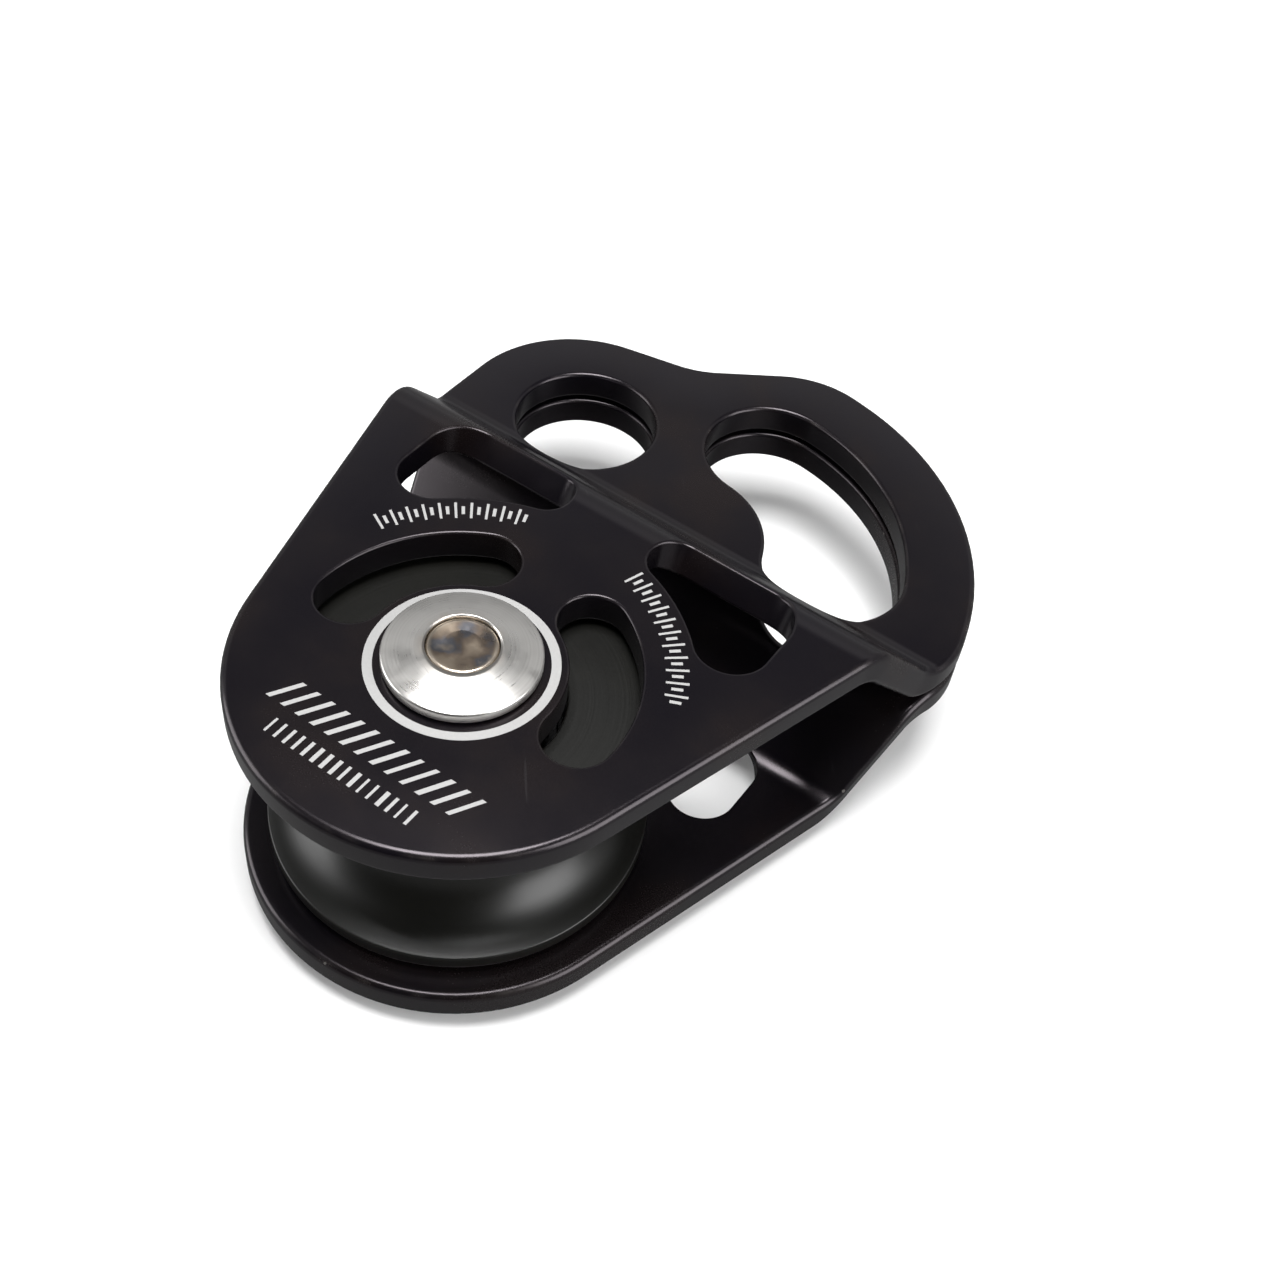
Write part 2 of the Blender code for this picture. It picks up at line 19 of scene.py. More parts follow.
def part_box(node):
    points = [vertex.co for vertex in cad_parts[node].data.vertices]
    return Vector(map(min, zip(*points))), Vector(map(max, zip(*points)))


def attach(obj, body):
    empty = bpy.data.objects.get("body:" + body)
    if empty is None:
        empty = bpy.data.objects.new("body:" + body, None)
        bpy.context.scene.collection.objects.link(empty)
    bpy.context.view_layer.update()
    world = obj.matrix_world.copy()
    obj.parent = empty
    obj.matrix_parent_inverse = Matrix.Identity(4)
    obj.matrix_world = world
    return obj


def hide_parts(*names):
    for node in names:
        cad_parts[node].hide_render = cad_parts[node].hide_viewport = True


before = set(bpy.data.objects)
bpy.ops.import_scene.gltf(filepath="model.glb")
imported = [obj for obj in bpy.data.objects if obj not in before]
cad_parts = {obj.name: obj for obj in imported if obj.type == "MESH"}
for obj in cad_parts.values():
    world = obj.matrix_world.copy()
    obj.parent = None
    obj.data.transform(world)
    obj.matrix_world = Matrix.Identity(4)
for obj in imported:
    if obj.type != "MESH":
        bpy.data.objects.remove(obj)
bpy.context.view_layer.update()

log = logging.getLogger("sheave_block")

Colour = tuple[float, float, float, float]
Value = float | tuple[float, ...] | bpy.types.NodeSocket

MERGE = 1e-7
FINE_STEP = math.radians(3)
ROUND_STEP = math.radians(15)


# Outlines and sections


def unit(angle: float) -> Vector:
    """The flat unit vector at an angle from +X."""
    return Vector((math.cos(angle), math.sin(angle)))


def arc(
    centre: Sequence[float], radius: float, start: float, end: float, step: float = FINE_STEP
) -> list[Vector]:
    """Points along an arc, both ends kept.

    Args:
        centre: The arc's centre.
        radius: Its radius.
        start: The angle of the first point.
        end: The angle of the last point.
        step: The largest angle between two points.

    Returns:
        The points, from start to end.
    """
    count = max(2, math.ceil(abs(end - start) / step))
    return [
        Vector(centre) + unit(start + (end - start) * i / count) * radius for i in range(count + 1)
    ]


@dataclass
class Path:
    """A flat run of points with material on its left side."""

    points: list[Vector]
    closed: bool = True

    def __post_init__(self) -> None:
        """Drops points that repeat the one before."""
        kept: list[Vector] = []
        for point in self.points:
            if not kept or (point - kept[-1]).length > MERGE:
                kept.append(point)
        if self.closed and (kept[0] - kept[-1]).length <= MERGE:
            kept.pop()
        self.points = kept

    def area(self) -> float:
        """The enclosed area, positive where the run goes round anticlockwise."""
        ends = self.points[1:] + self.points[:1]
        return sum(a.x * b.y - b.x * a.y for a, b in zip(self.points, ends)) / 2

    def turned_to(self, anticlockwise: bool) -> "Path":
        """The same closed run, going round the given way."""
        same = (self.area() > 0) == anticlockwise
        return Path(list(self.points) if same else self.points[::-1])

    def mirrored(self) -> "Path":
        """The run's mirror image in the long axis."""
        return Path([Vector((-p.x, p.y)) for p in reversed(self.points)], self.closed)

    def normals(self) -> list[Vector]:
        """A unit normal at each point, away from the material.

        Returns:
            Normals that lean to the longer of the two stretches that meet at a point, so a flat
            stays flat up to its rounded edge.
        """
        points = self.points
        count = len(points)
        spans = [points[(i + 1) % count] - points[i] for i in range(count)]
        rights = [Vector((s.y, -s.x)) for s in spans]
        if not self.closed:
            rights[-1] = Vector((0, 0))
        return [(rights[i - 1] + rights[i]).normalized() for i in range(count)]


def rounded(
    corners: Sequence[tuple[float, float, float]], closed: bool = True, step: float = ROUND_STEP
) -> Path:
    """A run of straight stretches with its corners rounded.

    Args:
        corners: (across, along, rounding radius) of each corner.
        closed: Whether the last corner leads back to the first.
        step: The largest angle between two points of a rounding.

    Returns:
        The run, in the order of its corners.
    """
    points: list[Vector] = []
    count = len(corners)
    for i, (x, y, radius) in enumerate(corners):
        corner = Vector((x, y))
        if not radius or (not closed and i in (0, count - 1)):
            points.append(corner)
            continue
        back = (Vector(corners[i - 1][:2]) - corner).normalized()
        ahead = (Vector(corners[(i + 1) % count][:2]) - corner).normalized()
        half = back.angle(ahead) / 2
        centre = corner + (back + ahead).normalized() * radius / math.sin(half)
        first = corner + back * radius / math.tan(half) - centre
        start = math.atan2(first.y, first.x)
        turn = math.pi - 2 * half
        if back.x * ahead.y - back.y * ahead.x > 0:
            turn = -turn
        points += arc(centre, radius, start, start + turn, step)
    return Path(points, closed)


def curved_slot(
    centre: Vector, radius: float, width: float, angles: tuple[float, float]
) -> Path:
    """A slot of constant width along an arc, with round ends.

    Args:
        centre: The centre of the arc.
        radius: From that centre to the middle of the slot.
        width: The slot's width.
        angles: Where the arc starts and ends.

    Returns:
        The slot's outline, anticlockwise.
    """
    start, end = angles
    half = width / 2
    points = arc(centre, radius + half, start, end)
    points += arc(centre + unit(end) * radius, half, end, end + math.pi)[1:-1]
    points += arc(centre, radius - half, end, start)
    points += arc(centre + unit(start) * radius, half, start + math.pi, start + 2 * math.pi)[1:-1]
    return Path(points)


def finished_mesh(
    name: str,
    points: Sequence[Vector],
    faces: Sequence[Sequence[int]],
    normals: Sequence[Vector],
) -> bpy.types.Mesh:
    """A smooth mesh that keeps the normals it was designed with.

    Args:
        name: The mesh's name.
        points: Its vertices.
        faces: Its faces, as vertex numbers.
        normals: One normal for each vertex.

    Returns:
        The mesh.
    """
    mesh = bpy.data.meshes.new(name)
    mesh.from_pydata(points, [], faces)
    mesh.shade_smooth()
    mesh.normals_split_custom_set_from_vertices(normals)
    return mesh


def turned_mesh(name: str, section: Path, steps: int) -> bpy.types.Mesh:
    """A turned mesh about the Z axis.

    Args:
        name: The mesh's name.
        section: Half the section, as (radius, height). An open one starts and ends on the axis,
            from the bottom to the top.
        steps: How many steps go round.

    Returns:
        The mesh.
    """
    section = section.turned_to(anticlockwise=True) if section.closed else section
    points, normals, rings = [], [], []
    for spot, normal in zip(section.points, section.normals()):
        ring = []
        for j in range(1 if spot.x < MERGE else steps):
            c, s = unit(2 * math.pi * j / steps)
            ring.append(len(points))
            points.append(Vector((spot.x * c, spot.x * s, spot.y)))
            normals.append(Vector((normal.x * c, normal.x * s, normal.y)))
        rings.append(ring)
    for ring in (rings[0], rings[-1]):
        if len(ring) == 1:
            normals[ring[0]] = Vector((0, 0, -1 if ring is rings[0] else 1))
    faces = []
    for low, high in zip(rings, rings[1:] + (rings[:1] if section.closed else [])):
        for j in range(steps):
            k = (j + 1) % steps
            corners = [ring[i % len(ring)] for ring, i in ((low, j), (low, k), (high, k), (high, j))]
            faces.append(list(dict.fromkeys(corners)))
    return finished_mesh(name, points, faces, normals)


# Node trees


class Tree:
    """A node tree that is filled node by node."""

    def __init__(self, tree: bpy.types.NodeTree) -> None:
        """Starts on an existing tree."""
        self.tree = tree

    def feed(self, socket: bpy.types.NodeSocket, value: Value) -> None:
        """Links a socket to an output, or sets its own number, vector or colour.

        Args:
            socket: The socket.
            value: The output or the value.
        """
        if isinstance(value, bpy.types.NodeSocket):
            self.tree.links.new(value, socket)
        else:
            socket.default_value = value

    def add(self, kind: str, inputs: dict | None = None, **settings: object) -> bpy.types.Node:
        """Adds a shader node.

        Args:
            kind: The node's type, without its ShaderNode prefix.
            inputs: Values or outputs for its sockets, by name or number.
            settings: Its properties.

        Returns:
            The node.
        """
        node = self.tree.nodes.new(f"ShaderNode{kind}")
        for name, value in settings.items():
            setattr(node, name, value)
        for name, value in (inputs or {}).items():
            self.feed(node.inputs[name], value)
        return node

    def calc(self, operation: str, *values: Value, clamp: bool = False) -> bpy.types.NodeSocket:
        """One step of arithmetic on numbers or outputs."""
        node = self.add("Math", dict(enumerate(values)), operation=operation, use_clamp=clamp)
        return node.outputs[0]

    def spread(
        self, value: Value, low: Value, high: Value, first: float = 0.0, last: float = 1.0
    ) -> bpy.types.NodeSocket:
        """A value taken from one range to another, smoothly, and held at its ends.

        Args:
            value: The value.
            low: Where the first range starts.
            high: Where it ends.
            first: What low becomes.
            last: What high becomes.

        Returns:
            The value in the second range.
        """
        node = self.add("MapRange", {"Value": value}, interpolation_type="SMOOTHSTEP")
        for name, end in (("From Min", low), ("From Max", high), ("To Min", first), ("To Max", last)):
            self.feed(node.inputs[name], end)
        return node.outputs[0]

    def blend(self, mask: Value, first: Value, second: Value) -> bpy.types.NodeSocket:
        """One colour laid over another through a mask."""
        return self.add("Mix", {0: mask, 6: first, 7: second}, data_type="RGBA").outputs[2]

    def noise(self, vector: Value, scale: Value, detail: float = 2.0) -> bpy.types.NodeSocket:
        """Soft noise between 0 and 1."""
        return self.add("TexNoise", {"Vector": vector, "Scale": scale, "Detail": detail}).outputs[0]

    def ramp(self, value: Value, stops: Sequence[tuple[float, Colour]]) -> bpy.types.NodeSocket:
        """A colour for each value.

        Args:
            value: The value.
            stops: The places of the ramp's colours, and the colours.

        Returns:
            The colour, between those of the nearest stops.
        """
        node = self.add("ValToRGB", {0: value})
        elements = node.color_ramp.elements
        for (place, colour), element in zip(stops, elements):
            element.position, element.color = place, colour
        for place, colour in stops[len(elements) :]:
            elements.new(place).color = colour
        return node.outputs[0]

    def bump(self, height: Value, depth: float, strength: float = 1.0) -> bpy.types.NodeSocket:
        """A normal from a height, whose full range is the given depth."""
        sockets = {"Height": height, "Distance": depth, "Strength": strength}
        return self.add("Bump", sockets).outputs[0]

    def place(self, effect: "Effect", **inputs: Value) -> bpy.types.NodeOutputs:
        """Places an effect's group with its own values.

        Args:
            effect: The effect.
            inputs: Values or outputs for its sockets, by name, with _ for a space.

        Returns:
            The group's outputs.
        """
        node = self.tree.nodes.new("ShaderNodeGroup")
        node.node_tree = effect.group()
        for name, value in inputs.items():
            self.feed(node.inputs[name.replace("_", " ")], value)
        return node.outputs


@dataclass(frozen=True)
class Effect:
    """A surface effect, kept as one shader node group that many materials can place."""

    name: str = "effect"
    vectors: tuple[str, ...] = ("Vector",)
    numbers: tuple[tuple[str, float], ...] = ()
    outputs: tuple[str, ...] = ("Mask",)

    def fill(self, tree: Tree, given: bpy.types.NodeOutputs) -> Sequence[bpy.types.NodeSocket]:
        """Adds the effect's nodes.

        Args:
            tree: The group's tree.
            given: The group's inputs.

        Returns:
            One socket for each output.
        """
        raise NotImplementedError

    def group(self) -> bpy.types.NodeTree:
        """The effect's node group, made the first time it is asked for.

        Returns:
            The group.
        """
        made = bpy.data.node_groups.get(self.name)
        if made:
            return made
        made = bpy.data.node_groups.new(self.name, "ShaderNodeTree")
        for name in self.vectors:
            made.interface.new_socket(name, in_out="INPUT", socket_type="NodeSocketVector")
        for name, value in self.numbers:
            socket = made.interface.new_socket(name, in_out="INPUT", socket_type="NodeSocketFloat")
            socket.default_value = value
        for name in self.outputs:
            made.interface.new_socket(name, in_out="OUTPUT", socket_type="NodeSocketFloat")
        given = made.nodes.new("NodeGroupInput").outputs
        result = made.nodes.new("NodeGroupOutput")
        tree = Tree(made)
        for name, socket in zip(self.outputs, self.fill(tree, given)):
            tree.feed(result.inputs[name], socket)
        return made


@dataclass(frozen=True)
class Grain(Effect):
    """The fine pitted grain of an etched or blasted face, with slow changes across it."""

    name: str = "grain"
    numbers: tuple[tuple[str, float], ...] = (("Scale", 4000.0), ("Patch Scale", 120.0))
    outputs: tuple[str, ...] = ("Height", "Patches")

    def fill(self, tree: Tree, given: bpy.types.NodeOutputs) -> Sequence[bpy.types.NodeSocket]:
        """Fine noise for the height and slow noise for the patches.

        Args:
            tree: The group's tree.
            given: The group's inputs.

        Returns:
            The height and the mask of the patches.
        """
        height = tree.noise(given["Vector"], given["Scale"], 3.0)
        patches = tree.noise(given["Vector"], given["Patch Scale"], 4.0)
        return height, tree.spread(patches, 0.3, 0.7)


@dataclass(frozen=True)
class Scratches(Effect):
    """Short fine scratches that mostly run one way."""

    name: str = "scratches"
    numbers: tuple[tuple[str, float], ...] = (("Scale", 900.0), ("Turn", 0.6), ("Amount", 0.5))
    stretch: tuple[float, float, float] = (0.05, 1.0, 0.3)
    gap_scale: float = 150.0

    def fill(self, tree: Tree, given: bpy.types.NodeOutputs) -> Sequence[bpy.types.NodeSocket]:
        """Noise drawn out along one direction, with only its crests kept.

        Args:
            tree: The group's tree.
            given: The group's inputs.

        Returns:
            The mask of the scratches.
        """
        sockets = {"Vector": given["Vector"], "Angle": given["Turn"]}
        turned = tree.add("VectorRotate", sockets, rotation_type="Z_AXIS").outputs[0]
        drawn = tree.add("VectorMath", {0: turned, 1: self.stretch}, operation="MULTIPLY")
        crests = tree.noise(drawn.outputs[0], given["Scale"], 1.0)
        level = tree.calc("MULTIPLY_ADD", given["Amount"], -0.12, 0.80)
        lines = tree.spread(crests, level, tree.calc("ADD", level, 0.03))
        gaps = tree.spread(tree.noise(given["Vector"], self.gap_scale), 0.45, 0.6)
        return (tree.calc("MULTIPLY", lines, gaps),)


@dataclass(frozen=True)
class Dust(Effect):
    """Scattered specks of dust."""

    name: str = "dust"
    numbers: tuple[tuple[str, float], ...] = (("Scale", 700.0), ("Amount", 0.05))

    def fill(self, tree: Tree, given: bpy.types.NodeOutputs) -> Sequence[bpy.types.NodeSocket]:
        """A speck of its own size in a few of the cells.

        Args:
            tree: The group's tree.
            given: The group's inputs.

        Returns:
            The mask of the specks.
        """
        cells = tree.add("TexVoronoi", {"Vector": given["Vector"], "Scale": given["Scale"]})
        random = tree.add("SeparateColor", {0: cells.outputs["Color"]}).outputs
        reach = tree.calc("MULTIPLY_ADD", random[0], 0.10, 0.02)
        near = tree.calc("LESS_THAN", cells.outputs["Distance"], reach)
        return (tree.calc("MULTIPLY", near, tree.calc("LESS_THAN", random[1], given["Amount"])),)


@dataclass(frozen=True)
class Polar(Effect):
    """A place's distance from the axle's axis, and its angle round it."""

    name: str = "polar"
    outputs: tuple[str, ...] = ("Radius", "Angle", "Level")

    def fill(self, tree: Tree, given: bpy.types.NodeOutputs) -> Sequence[bpy.types.NodeSocket]:
        """The flat distance, the angle from +X and the height.

        Args:
            tree: The group's tree.
            given: The group's inputs.

        Returns:
            Those three numbers.
        """
        x, y, z = tree.add("SeparateXYZ", {0: given["Vector"]}).outputs
        square = tree.calc("MULTIPLY_ADD", x, x, tree.calc("MULTIPLY", y, y))
        return tree.calc("SQRT", square), tree.calc("ARCTAN2", y, x), z


@dataclass(frozen=True)
class TurnedLines(Effect):
    """The fine rings that a lathe tool leaves."""

    name: str = "turned_lines"
    numbers: tuple[tuple[str, float], ...] = (("Pitch", 0.0001),)
    outputs: tuple[str, ...] = ("Height",)

    def fill(self, tree: Tree, given: bpy.types.NodeOutputs) -> Sequence[bpy.types.NodeSocket]:
        """Noise along the profile only, so that it goes all the way round.

        Args:
            tree: The group's tree.
            given: The group's inputs.

        Returns:
            The height of the rings.
        """
        radius, _, level = tree.place(POLAR, Vector=given["Vector"])
        along = tree.calc("DIVIDE", tree.calc("MULTIPLY_ADD", level, 0.8, radius), given["Pitch"])
        sockets = {"W": along, "Scale": 1.0, "Detail": 2.0}
        return (tree.add("TexNoise", sockets, noise_dimensions="1D").outputs[0],)


@dataclass(frozen=True)
class EdgeWear(Effect):
    """Thin rubbing on rounded edges."""

    name: str = "edge_wear"
    numbers: tuple[tuple[str, float], ...] = (("Edge", 0.0), ("Scale", 500.0), ("Amount", 0.5))

    def fill(self, tree: Tree, given: bpy.types.NodeOutputs) -> Sequence[bpy.types.NodeSocket]:
        """Patchy noise that only shows on the edges.

        Args:
            tree: The group's tree.
            given: The group's inputs.

        Returns:
            The mask of the rubbed places.
        """
        patches = tree.spread(tree.noise(given["Vector"], given["Scale"], 4.0), 0.42, 0.72)
        worn = tree.calc("MULTIPLY", tree.calc("POWER", given["Edge"], 2.0), patches)
        return (tree.calc("MULTIPLY", worn, given["Amount"]),)


@dataclass(frozen=True)
class BandMarks(Effect):
    """A band of plain bars, straight or leaning."""

    name: str = "band_marks"
    vectors: tuple[str, ...] = ()
    numbers: tuple[tuple[str, float], ...] = (
        ("Along", 0.0),
        ("Across", 0.0),
        ("Start", 0.0),
        ("End", 1.0),
        ("Height", 0.002),
        ("Pitch", 0.002),
        ("Duty", 0.5),
        ("Lean", 0.0),
        ("Variety", 0.0),
    )

    def fill(self, tree: Tree, given: bpy.types.NodeOutputs) -> Sequence[bpy.types.NodeSocket]:
        """Bars of a set pitch, cut off at the band's own ends and height.

        Args:
            tree: The group's tree.
            given: The group's inputs.

        Returns:
            The mask of the bars.
        """
        along, across = given["Along"], given["Across"]
        leaning = tree.calc("MULTIPLY_ADD", across, given["Lean"], along)
        count = tree.calc("DIVIDE", leaning, given["Pitch"])
        chance = tree.add("TexWhiteNoise", {"W": tree.calc("FLOOR", count)}, noise_dimensions="1D")
        loss = tree.calc("MULTIPLY", chance.outputs[0], given["Variety"])
        duty = tree.calc("MULTIPLY", given["Duty"], tree.calc("SUBTRACT", 1.0, loss))
        bar = tree.calc("LESS_THAN", tree.calc("FRACT", count), duty)
        started = tree.calc("GREATER_THAN", leaning, given["Start"])
        running = tree.calc("LESS_THAN", leaning, given["End"])
        half = tree.calc("MULTIPLY", given["Height"], 0.5)
        inside = tree.calc("LESS_THAN", tree.calc("ABSOLUTE", across), half)
        within = tree.calc("MULTIPLY", tree.calc("MULTIPLY", started, running), inside)
        return (tree.calc("MULTIPLY", bar, within),)


POLAR = Polar()
GRAIN = Grain()
SCRATCHES = Scratches()
DUST = Dust()
TURNED_LINES = TurnedLines()
EDGE_WEAR = EdgeWear()
BAND_MARKS = BandMarks()


# Finishes


@dataclass(frozen=True)
class Finish:
    """A surface finish: its name, its record slot and how its material is painted."""

    name: str
    slot: str

    def paint(self, tree: Tree, shader: bpy.types.Node, place: bpy.types.NodeSocket) -> None:
        """Adds the finish's nodes.

        Args:
            tree: The material's tree.
            shader: Its surface shader.
            place: The piece's own coordinates.
        """
        raise NotImplementedError

    def material(self) -> bpy.types.Material:
        """The finish's material, made the first time it is asked for.

        Returns:
            The material.
        """
        made = bpy.data.materials.get(self.name)
        if made:
            return made
        made = bpy.data.materials.new(self.name)
        made.use_nodes = True
        tree = Tree(made.node_tree)
        shader = made.node_tree.nodes["Principled BSDF"]
        self.paint(tree, shader, tree.add("TexCoord").outputs["Object"])
        return made

    def dress(self, piece: bpy.types.Object) -> None:
        """Gives the finish to a piece, in place of any it has.

        Args:
            piece: The piece.
        """
        piece.data.materials.clear()
        piece.data.materials.append(self.material())


@dataclass(frozen=True)
class BarRow:
    """A straight row of bars across a cheek; duty is the share of the pitch that a bar takes."""

    level: float
    half_length: float
    height: float
    pitch: float
    duty: float
    lean: float = 0.0
    variety: float = 0.0


@dataclass(frozen=True)
class TickArcs:
    """Arcs of long and short graduation ticks about the axle."""

    radius: float = 0.0198
    height: float = 0.0022
    pitch: float = math.radians(4.5)
    long_duty: float = 0.17
    short_duty: float = 0.22
    spans: tuple[tuple[float, float], ...] = (
        (math.radians(24), math.radians(75)),
        (math.radians(111), math.radians(156)),
    )


@dataclass(frozen=True)
class BlackAnodised(Finish):
    """Black hard-anodised sheet with a satin face, etched marks and a bright ring."""

    face_level: float = 0.0
    mark_reach: float = 0.00002
    ring: tuple[float, float] = (0.00816, 0.00907)
    arcs: TickArcs = TickArcs()
    rows: tuple[BarRow, ...] = (
        BarRow(-0.0124, 0.0113, 0.0030, 0.0017, 0.34, lean=-0.55, variety=0.2),
        BarRow(-0.0161, 0.0084, 0.0017, 0.00105, 0.42, variety=0.5),
    )
    violet: Colour = (0.0026, 0.0022, 0.0036, 1)
    black: Colour = (0.0032, 0.0025, 0.0034, 1)
    brown: Colour = (0.0048, 0.0032, 0.0032, 1)
    rubbed: Colour = (0.045, 0.040, 0.036, 1)
    scratched: Colour = (0.05, 0.05, 0.052, 1)
    dusty: Colour = (0.20, 0.19, 0.18, 1)
    etched_dark: Colour = (0.30, 0.30, 0.30, 1)
    etched_light: Colour = (0.38, 0.38, 0.37, 1)
    sheen: Colour = (1.0, 0.91, 0.97, 1)
    refraction: float = 1.45
    roughness: float = 0.19

    def marks(self, tree: Tree, place: bpy.types.NodeSocket) -> bpy.types.NodeSocket:
        """The mask of all that is etched on the outer face.

        Args:
            tree: The material's tree.
            place: The piece's own coordinates.

        Returns:
            1 on the bright ring, the two graduated arcs and the two rows of bars.
        """
        x, y, z = tree.add("SeparateXYZ", {0: place}).outputs
        radius, angle, _ = tree.place(POLAR, Vector=place)
        arcs = self.arcs
        ticks = ((0.0, arcs.height, arcs.long_duty), (arcs.pitch / 2, arcs.height / 2, arcs.short_duty))
        off_arc = tree.calc("SUBTRACT", radius, arcs.radius)
        bands = []
        for start, end in arcs.spans:
            for shift, height, duty in ticks:
                sockets = {"Along": tree.calc("ADD", angle, shift), "Across": off_arc}
                sockets |= {"Start": start, "End": end, "Height": height}
                bands.append(sockets | {"Pitch": arcs.pitch, "Duty": duty})
        for row in self.rows:
            sockets = {"Along": x, "Across": tree.calc("SUBTRACT", y, row.level)}
            sockets |= {"Start": -row.half_length, "End": row.half_length, "Height": row.height}
            sockets |= {"Pitch": row.pitch, "Duty": row.duty}
            bands.append(sockets | {"Lean": row.lean, "Variety": row.variety})
        inner, outer = self.ring
        off_ring = tree.calc("ABSOLUTE", tree.calc("SUBTRACT", radius, (inner + outer) / 2))
        total = tree.calc("LESS_THAN", off_ring, (outer - inner) / 2)
        for sockets in bands:
            total = tree.calc("MAXIMUM", total, tree.place(BAND_MARKS, **sockets)[0])
        depth = tree.calc("ABSOLUTE", tree.calc("SUBTRACT", z, self.face_level))
        return tree.calc("MULTIPLY", total, tree.calc("LESS_THAN", depth, self.mark_reach))

    def paint(self, tree: Tree, shader: bpy.types.Node, place: bpy.types.NodeSocket) -> None:
        """Near-black with a slight purple and brown cast, a little rubbed at its edges.

        Args:
            tree: The material's tree.
            shader: Its surface shader.
            place: The piece's own coordinates.
        """
        grain, patches = tree.place(GRAIN, Vector=place, Scale=5200.0, Patch_Scale=75.0)
        edge = tree.add("Attribute", attribute_name="edge").outputs["Fac"]
        worn = tree.place(EDGE_WEAR, Vector=place, Edge=edge, Scale=420.0, Amount=0.35)[0]
        lines = tree.place(SCRATCHES, Vector=place, Scale=2400.0, Turn=0.9, Amount=0.4)[0]
        dust = tree.place(DUST, Vector=place, Scale=420.0, Amount=0.035)[0]
        marks = self.marks(tree, place)
        body = tree.ramp(patches, [(0.0, self.violet), (0.6, self.black), (1.0, self.brown)])
        body = tree.blend(worn, body, self.rubbed)
        body = tree.blend(tree.calc("MULTIPLY", lines, 0.12), body, self.scratched)
        body = tree.blend(tree.calc("MULTIPLY", dust, 0.5), body, self.dusty)
        metal = tree.blend(grain, self.etched_dark, self.etched_light)
        tree.feed(shader.inputs["Base Color"], tree.blend(marks, body, metal))
        rough = tree.calc("MULTIPLY_ADD", patches, 0.05, self.roughness)
        rough = tree.calc("MULTIPLY_ADD", grain, 0.06, rough)
        rough = tree.calc("MULTIPLY_ADD", worn, 0.1, rough)
        tree.feed(shader.inputs["Roughness"], tree.calc("MULTIPLY_ADD", marks, 0.3, rough))
        shader.inputs["IOR"].default_value = self.refraction
        shader.inputs["Specular Tint"].default_value = self.sheen
        height = tree.calc("SUBTRACT", grain, tree.calc("MULTIPLY", marks, 2.0))
        tree.feed(shader.inputs["Normal"], tree.bump(height, 0.000006, 0.5))


@dataclass(frozen=True)
class TurnedAnodised(Finish):
    """Dark grey hard-anodised, with the rings of the turning still in it."""

    dark: Colour = (0.0026, 0.0025, 0.0019, 1)
    light: Colour = (0.0050, 0.0049, 0.0036, 1)
    dusty: Colour = (0.07, 0.07, 0.06, 1)
    roughness: float = 0.28

    def paint(self, tree: Tree, shader: bpy.types.Node, place: bpy.types.NodeSocket) -> None:
        """Olive grey, satin, with faint rings and a little dust.

        Args:
            tree: The material's tree.
            shader: Its surface shader.
            place: The piece's own coordinates.
        """
        grain, patches = tree.place(GRAIN, Vector=place, Scale=4200.0, Patch_Scale=180.0)
        rings = tree.place(TURNED_LINES, Vector=place, Pitch=0.00022)[0]
        dust = tree.place(DUST, Vector=place, Scale=380.0, Amount=0.05)[0]
        tint = tree.calc("MULTIPLY_ADD", rings, 0.35, tree.calc("MULTIPLY", patches, 0.5))
        body = tree.blend(tint, self.dark, self.light)
        body = tree.blend(tree.calc("MULTIPLY", dust, 0.4), body, self.dusty)
        tree.feed(shader.inputs["Base Color"], body)
        rough = tree.calc("MULTIPLY_ADD", rings, 0.08, self.roughness)
        tree.feed(shader.inputs["Roughness"], tree.calc("MULTIPLY_ADD", grain, 0.06, rough))
        height = tree.calc("MULTIPLY_ADD", grain, 0.3, rings)
        tree.feed(shader.inputs["Normal"], tree.bump(height, 0.000005, 0.6))


@dataclass(frozen=True)
class PolishedSteel(Finish):
    """Polished stainless steel with faint turning rings, smears and fine scratches."""

    dark: Colour = (0.66, 0.645, 0.62, 1)
    light: Colour = (0.78, 0.765, 0.74, 1)
    stained: Colour = (0.42, 0.35, 0.28, 1)
    scratched: Colour = (0.35, 0.34, 0.33, 1)
    stain: tuple[float, float] = (0.0034, 0.0048)
    roughness: float = 0.24

    def paint(self, tree: Tree, shader: bpy.types.Node, place: bpy.types.NodeSocket) -> None:
        """Bright metal, slightly warm, a little browned round its bore.

        Args:
            tree: The material's tree.
            shader: Its surface shader.
            place: The piece's own coordinates.
        """
        rings = tree.place(TURNED_LINES, Vector=place, Pitch=0.00012)[0]
        grain, patches = tree.place(GRAIN, Vector=place, Scale=2600.0, Patch_Scale=420.0)
        lines = tree.place(SCRATCHES, Vector=place, Scale=3000.0, Turn=0.4, Amount=0.8)[0]
        radius = tree.place(POLAR, Vector=place)["Radius"]
        near = tree.spread(radius, self.stain[0], self.stain[1], 1.0, 0.0)
        smear = tree.calc("MULTIPLY", near, patches)
        body = tree.blend(rings, self.dark, self.light)
        body = tree.blend(tree.calc("MULTIPLY", smear, 0.5), body, self.stained)
        body = tree.blend(tree.calc("MULTIPLY", lines, 0.4), body, self.scratched)
        tree.feed(shader.inputs["Base Color"], body)
        shader.inputs["Metallic"].default_value = 1.0
        rough = tree.calc("MULTIPLY_ADD", patches, 0.08, self.roughness)
        tree.feed(shader.inputs["Roughness"], tree.calc("MULTIPLY_ADD", rings, 0.06, rough))
        height = tree.calc("MULTIPLY_ADD", grain, 0.4, rings)
        tree.feed(shader.inputs["Normal"], tree.bump(height, 0.000002, 0.5))


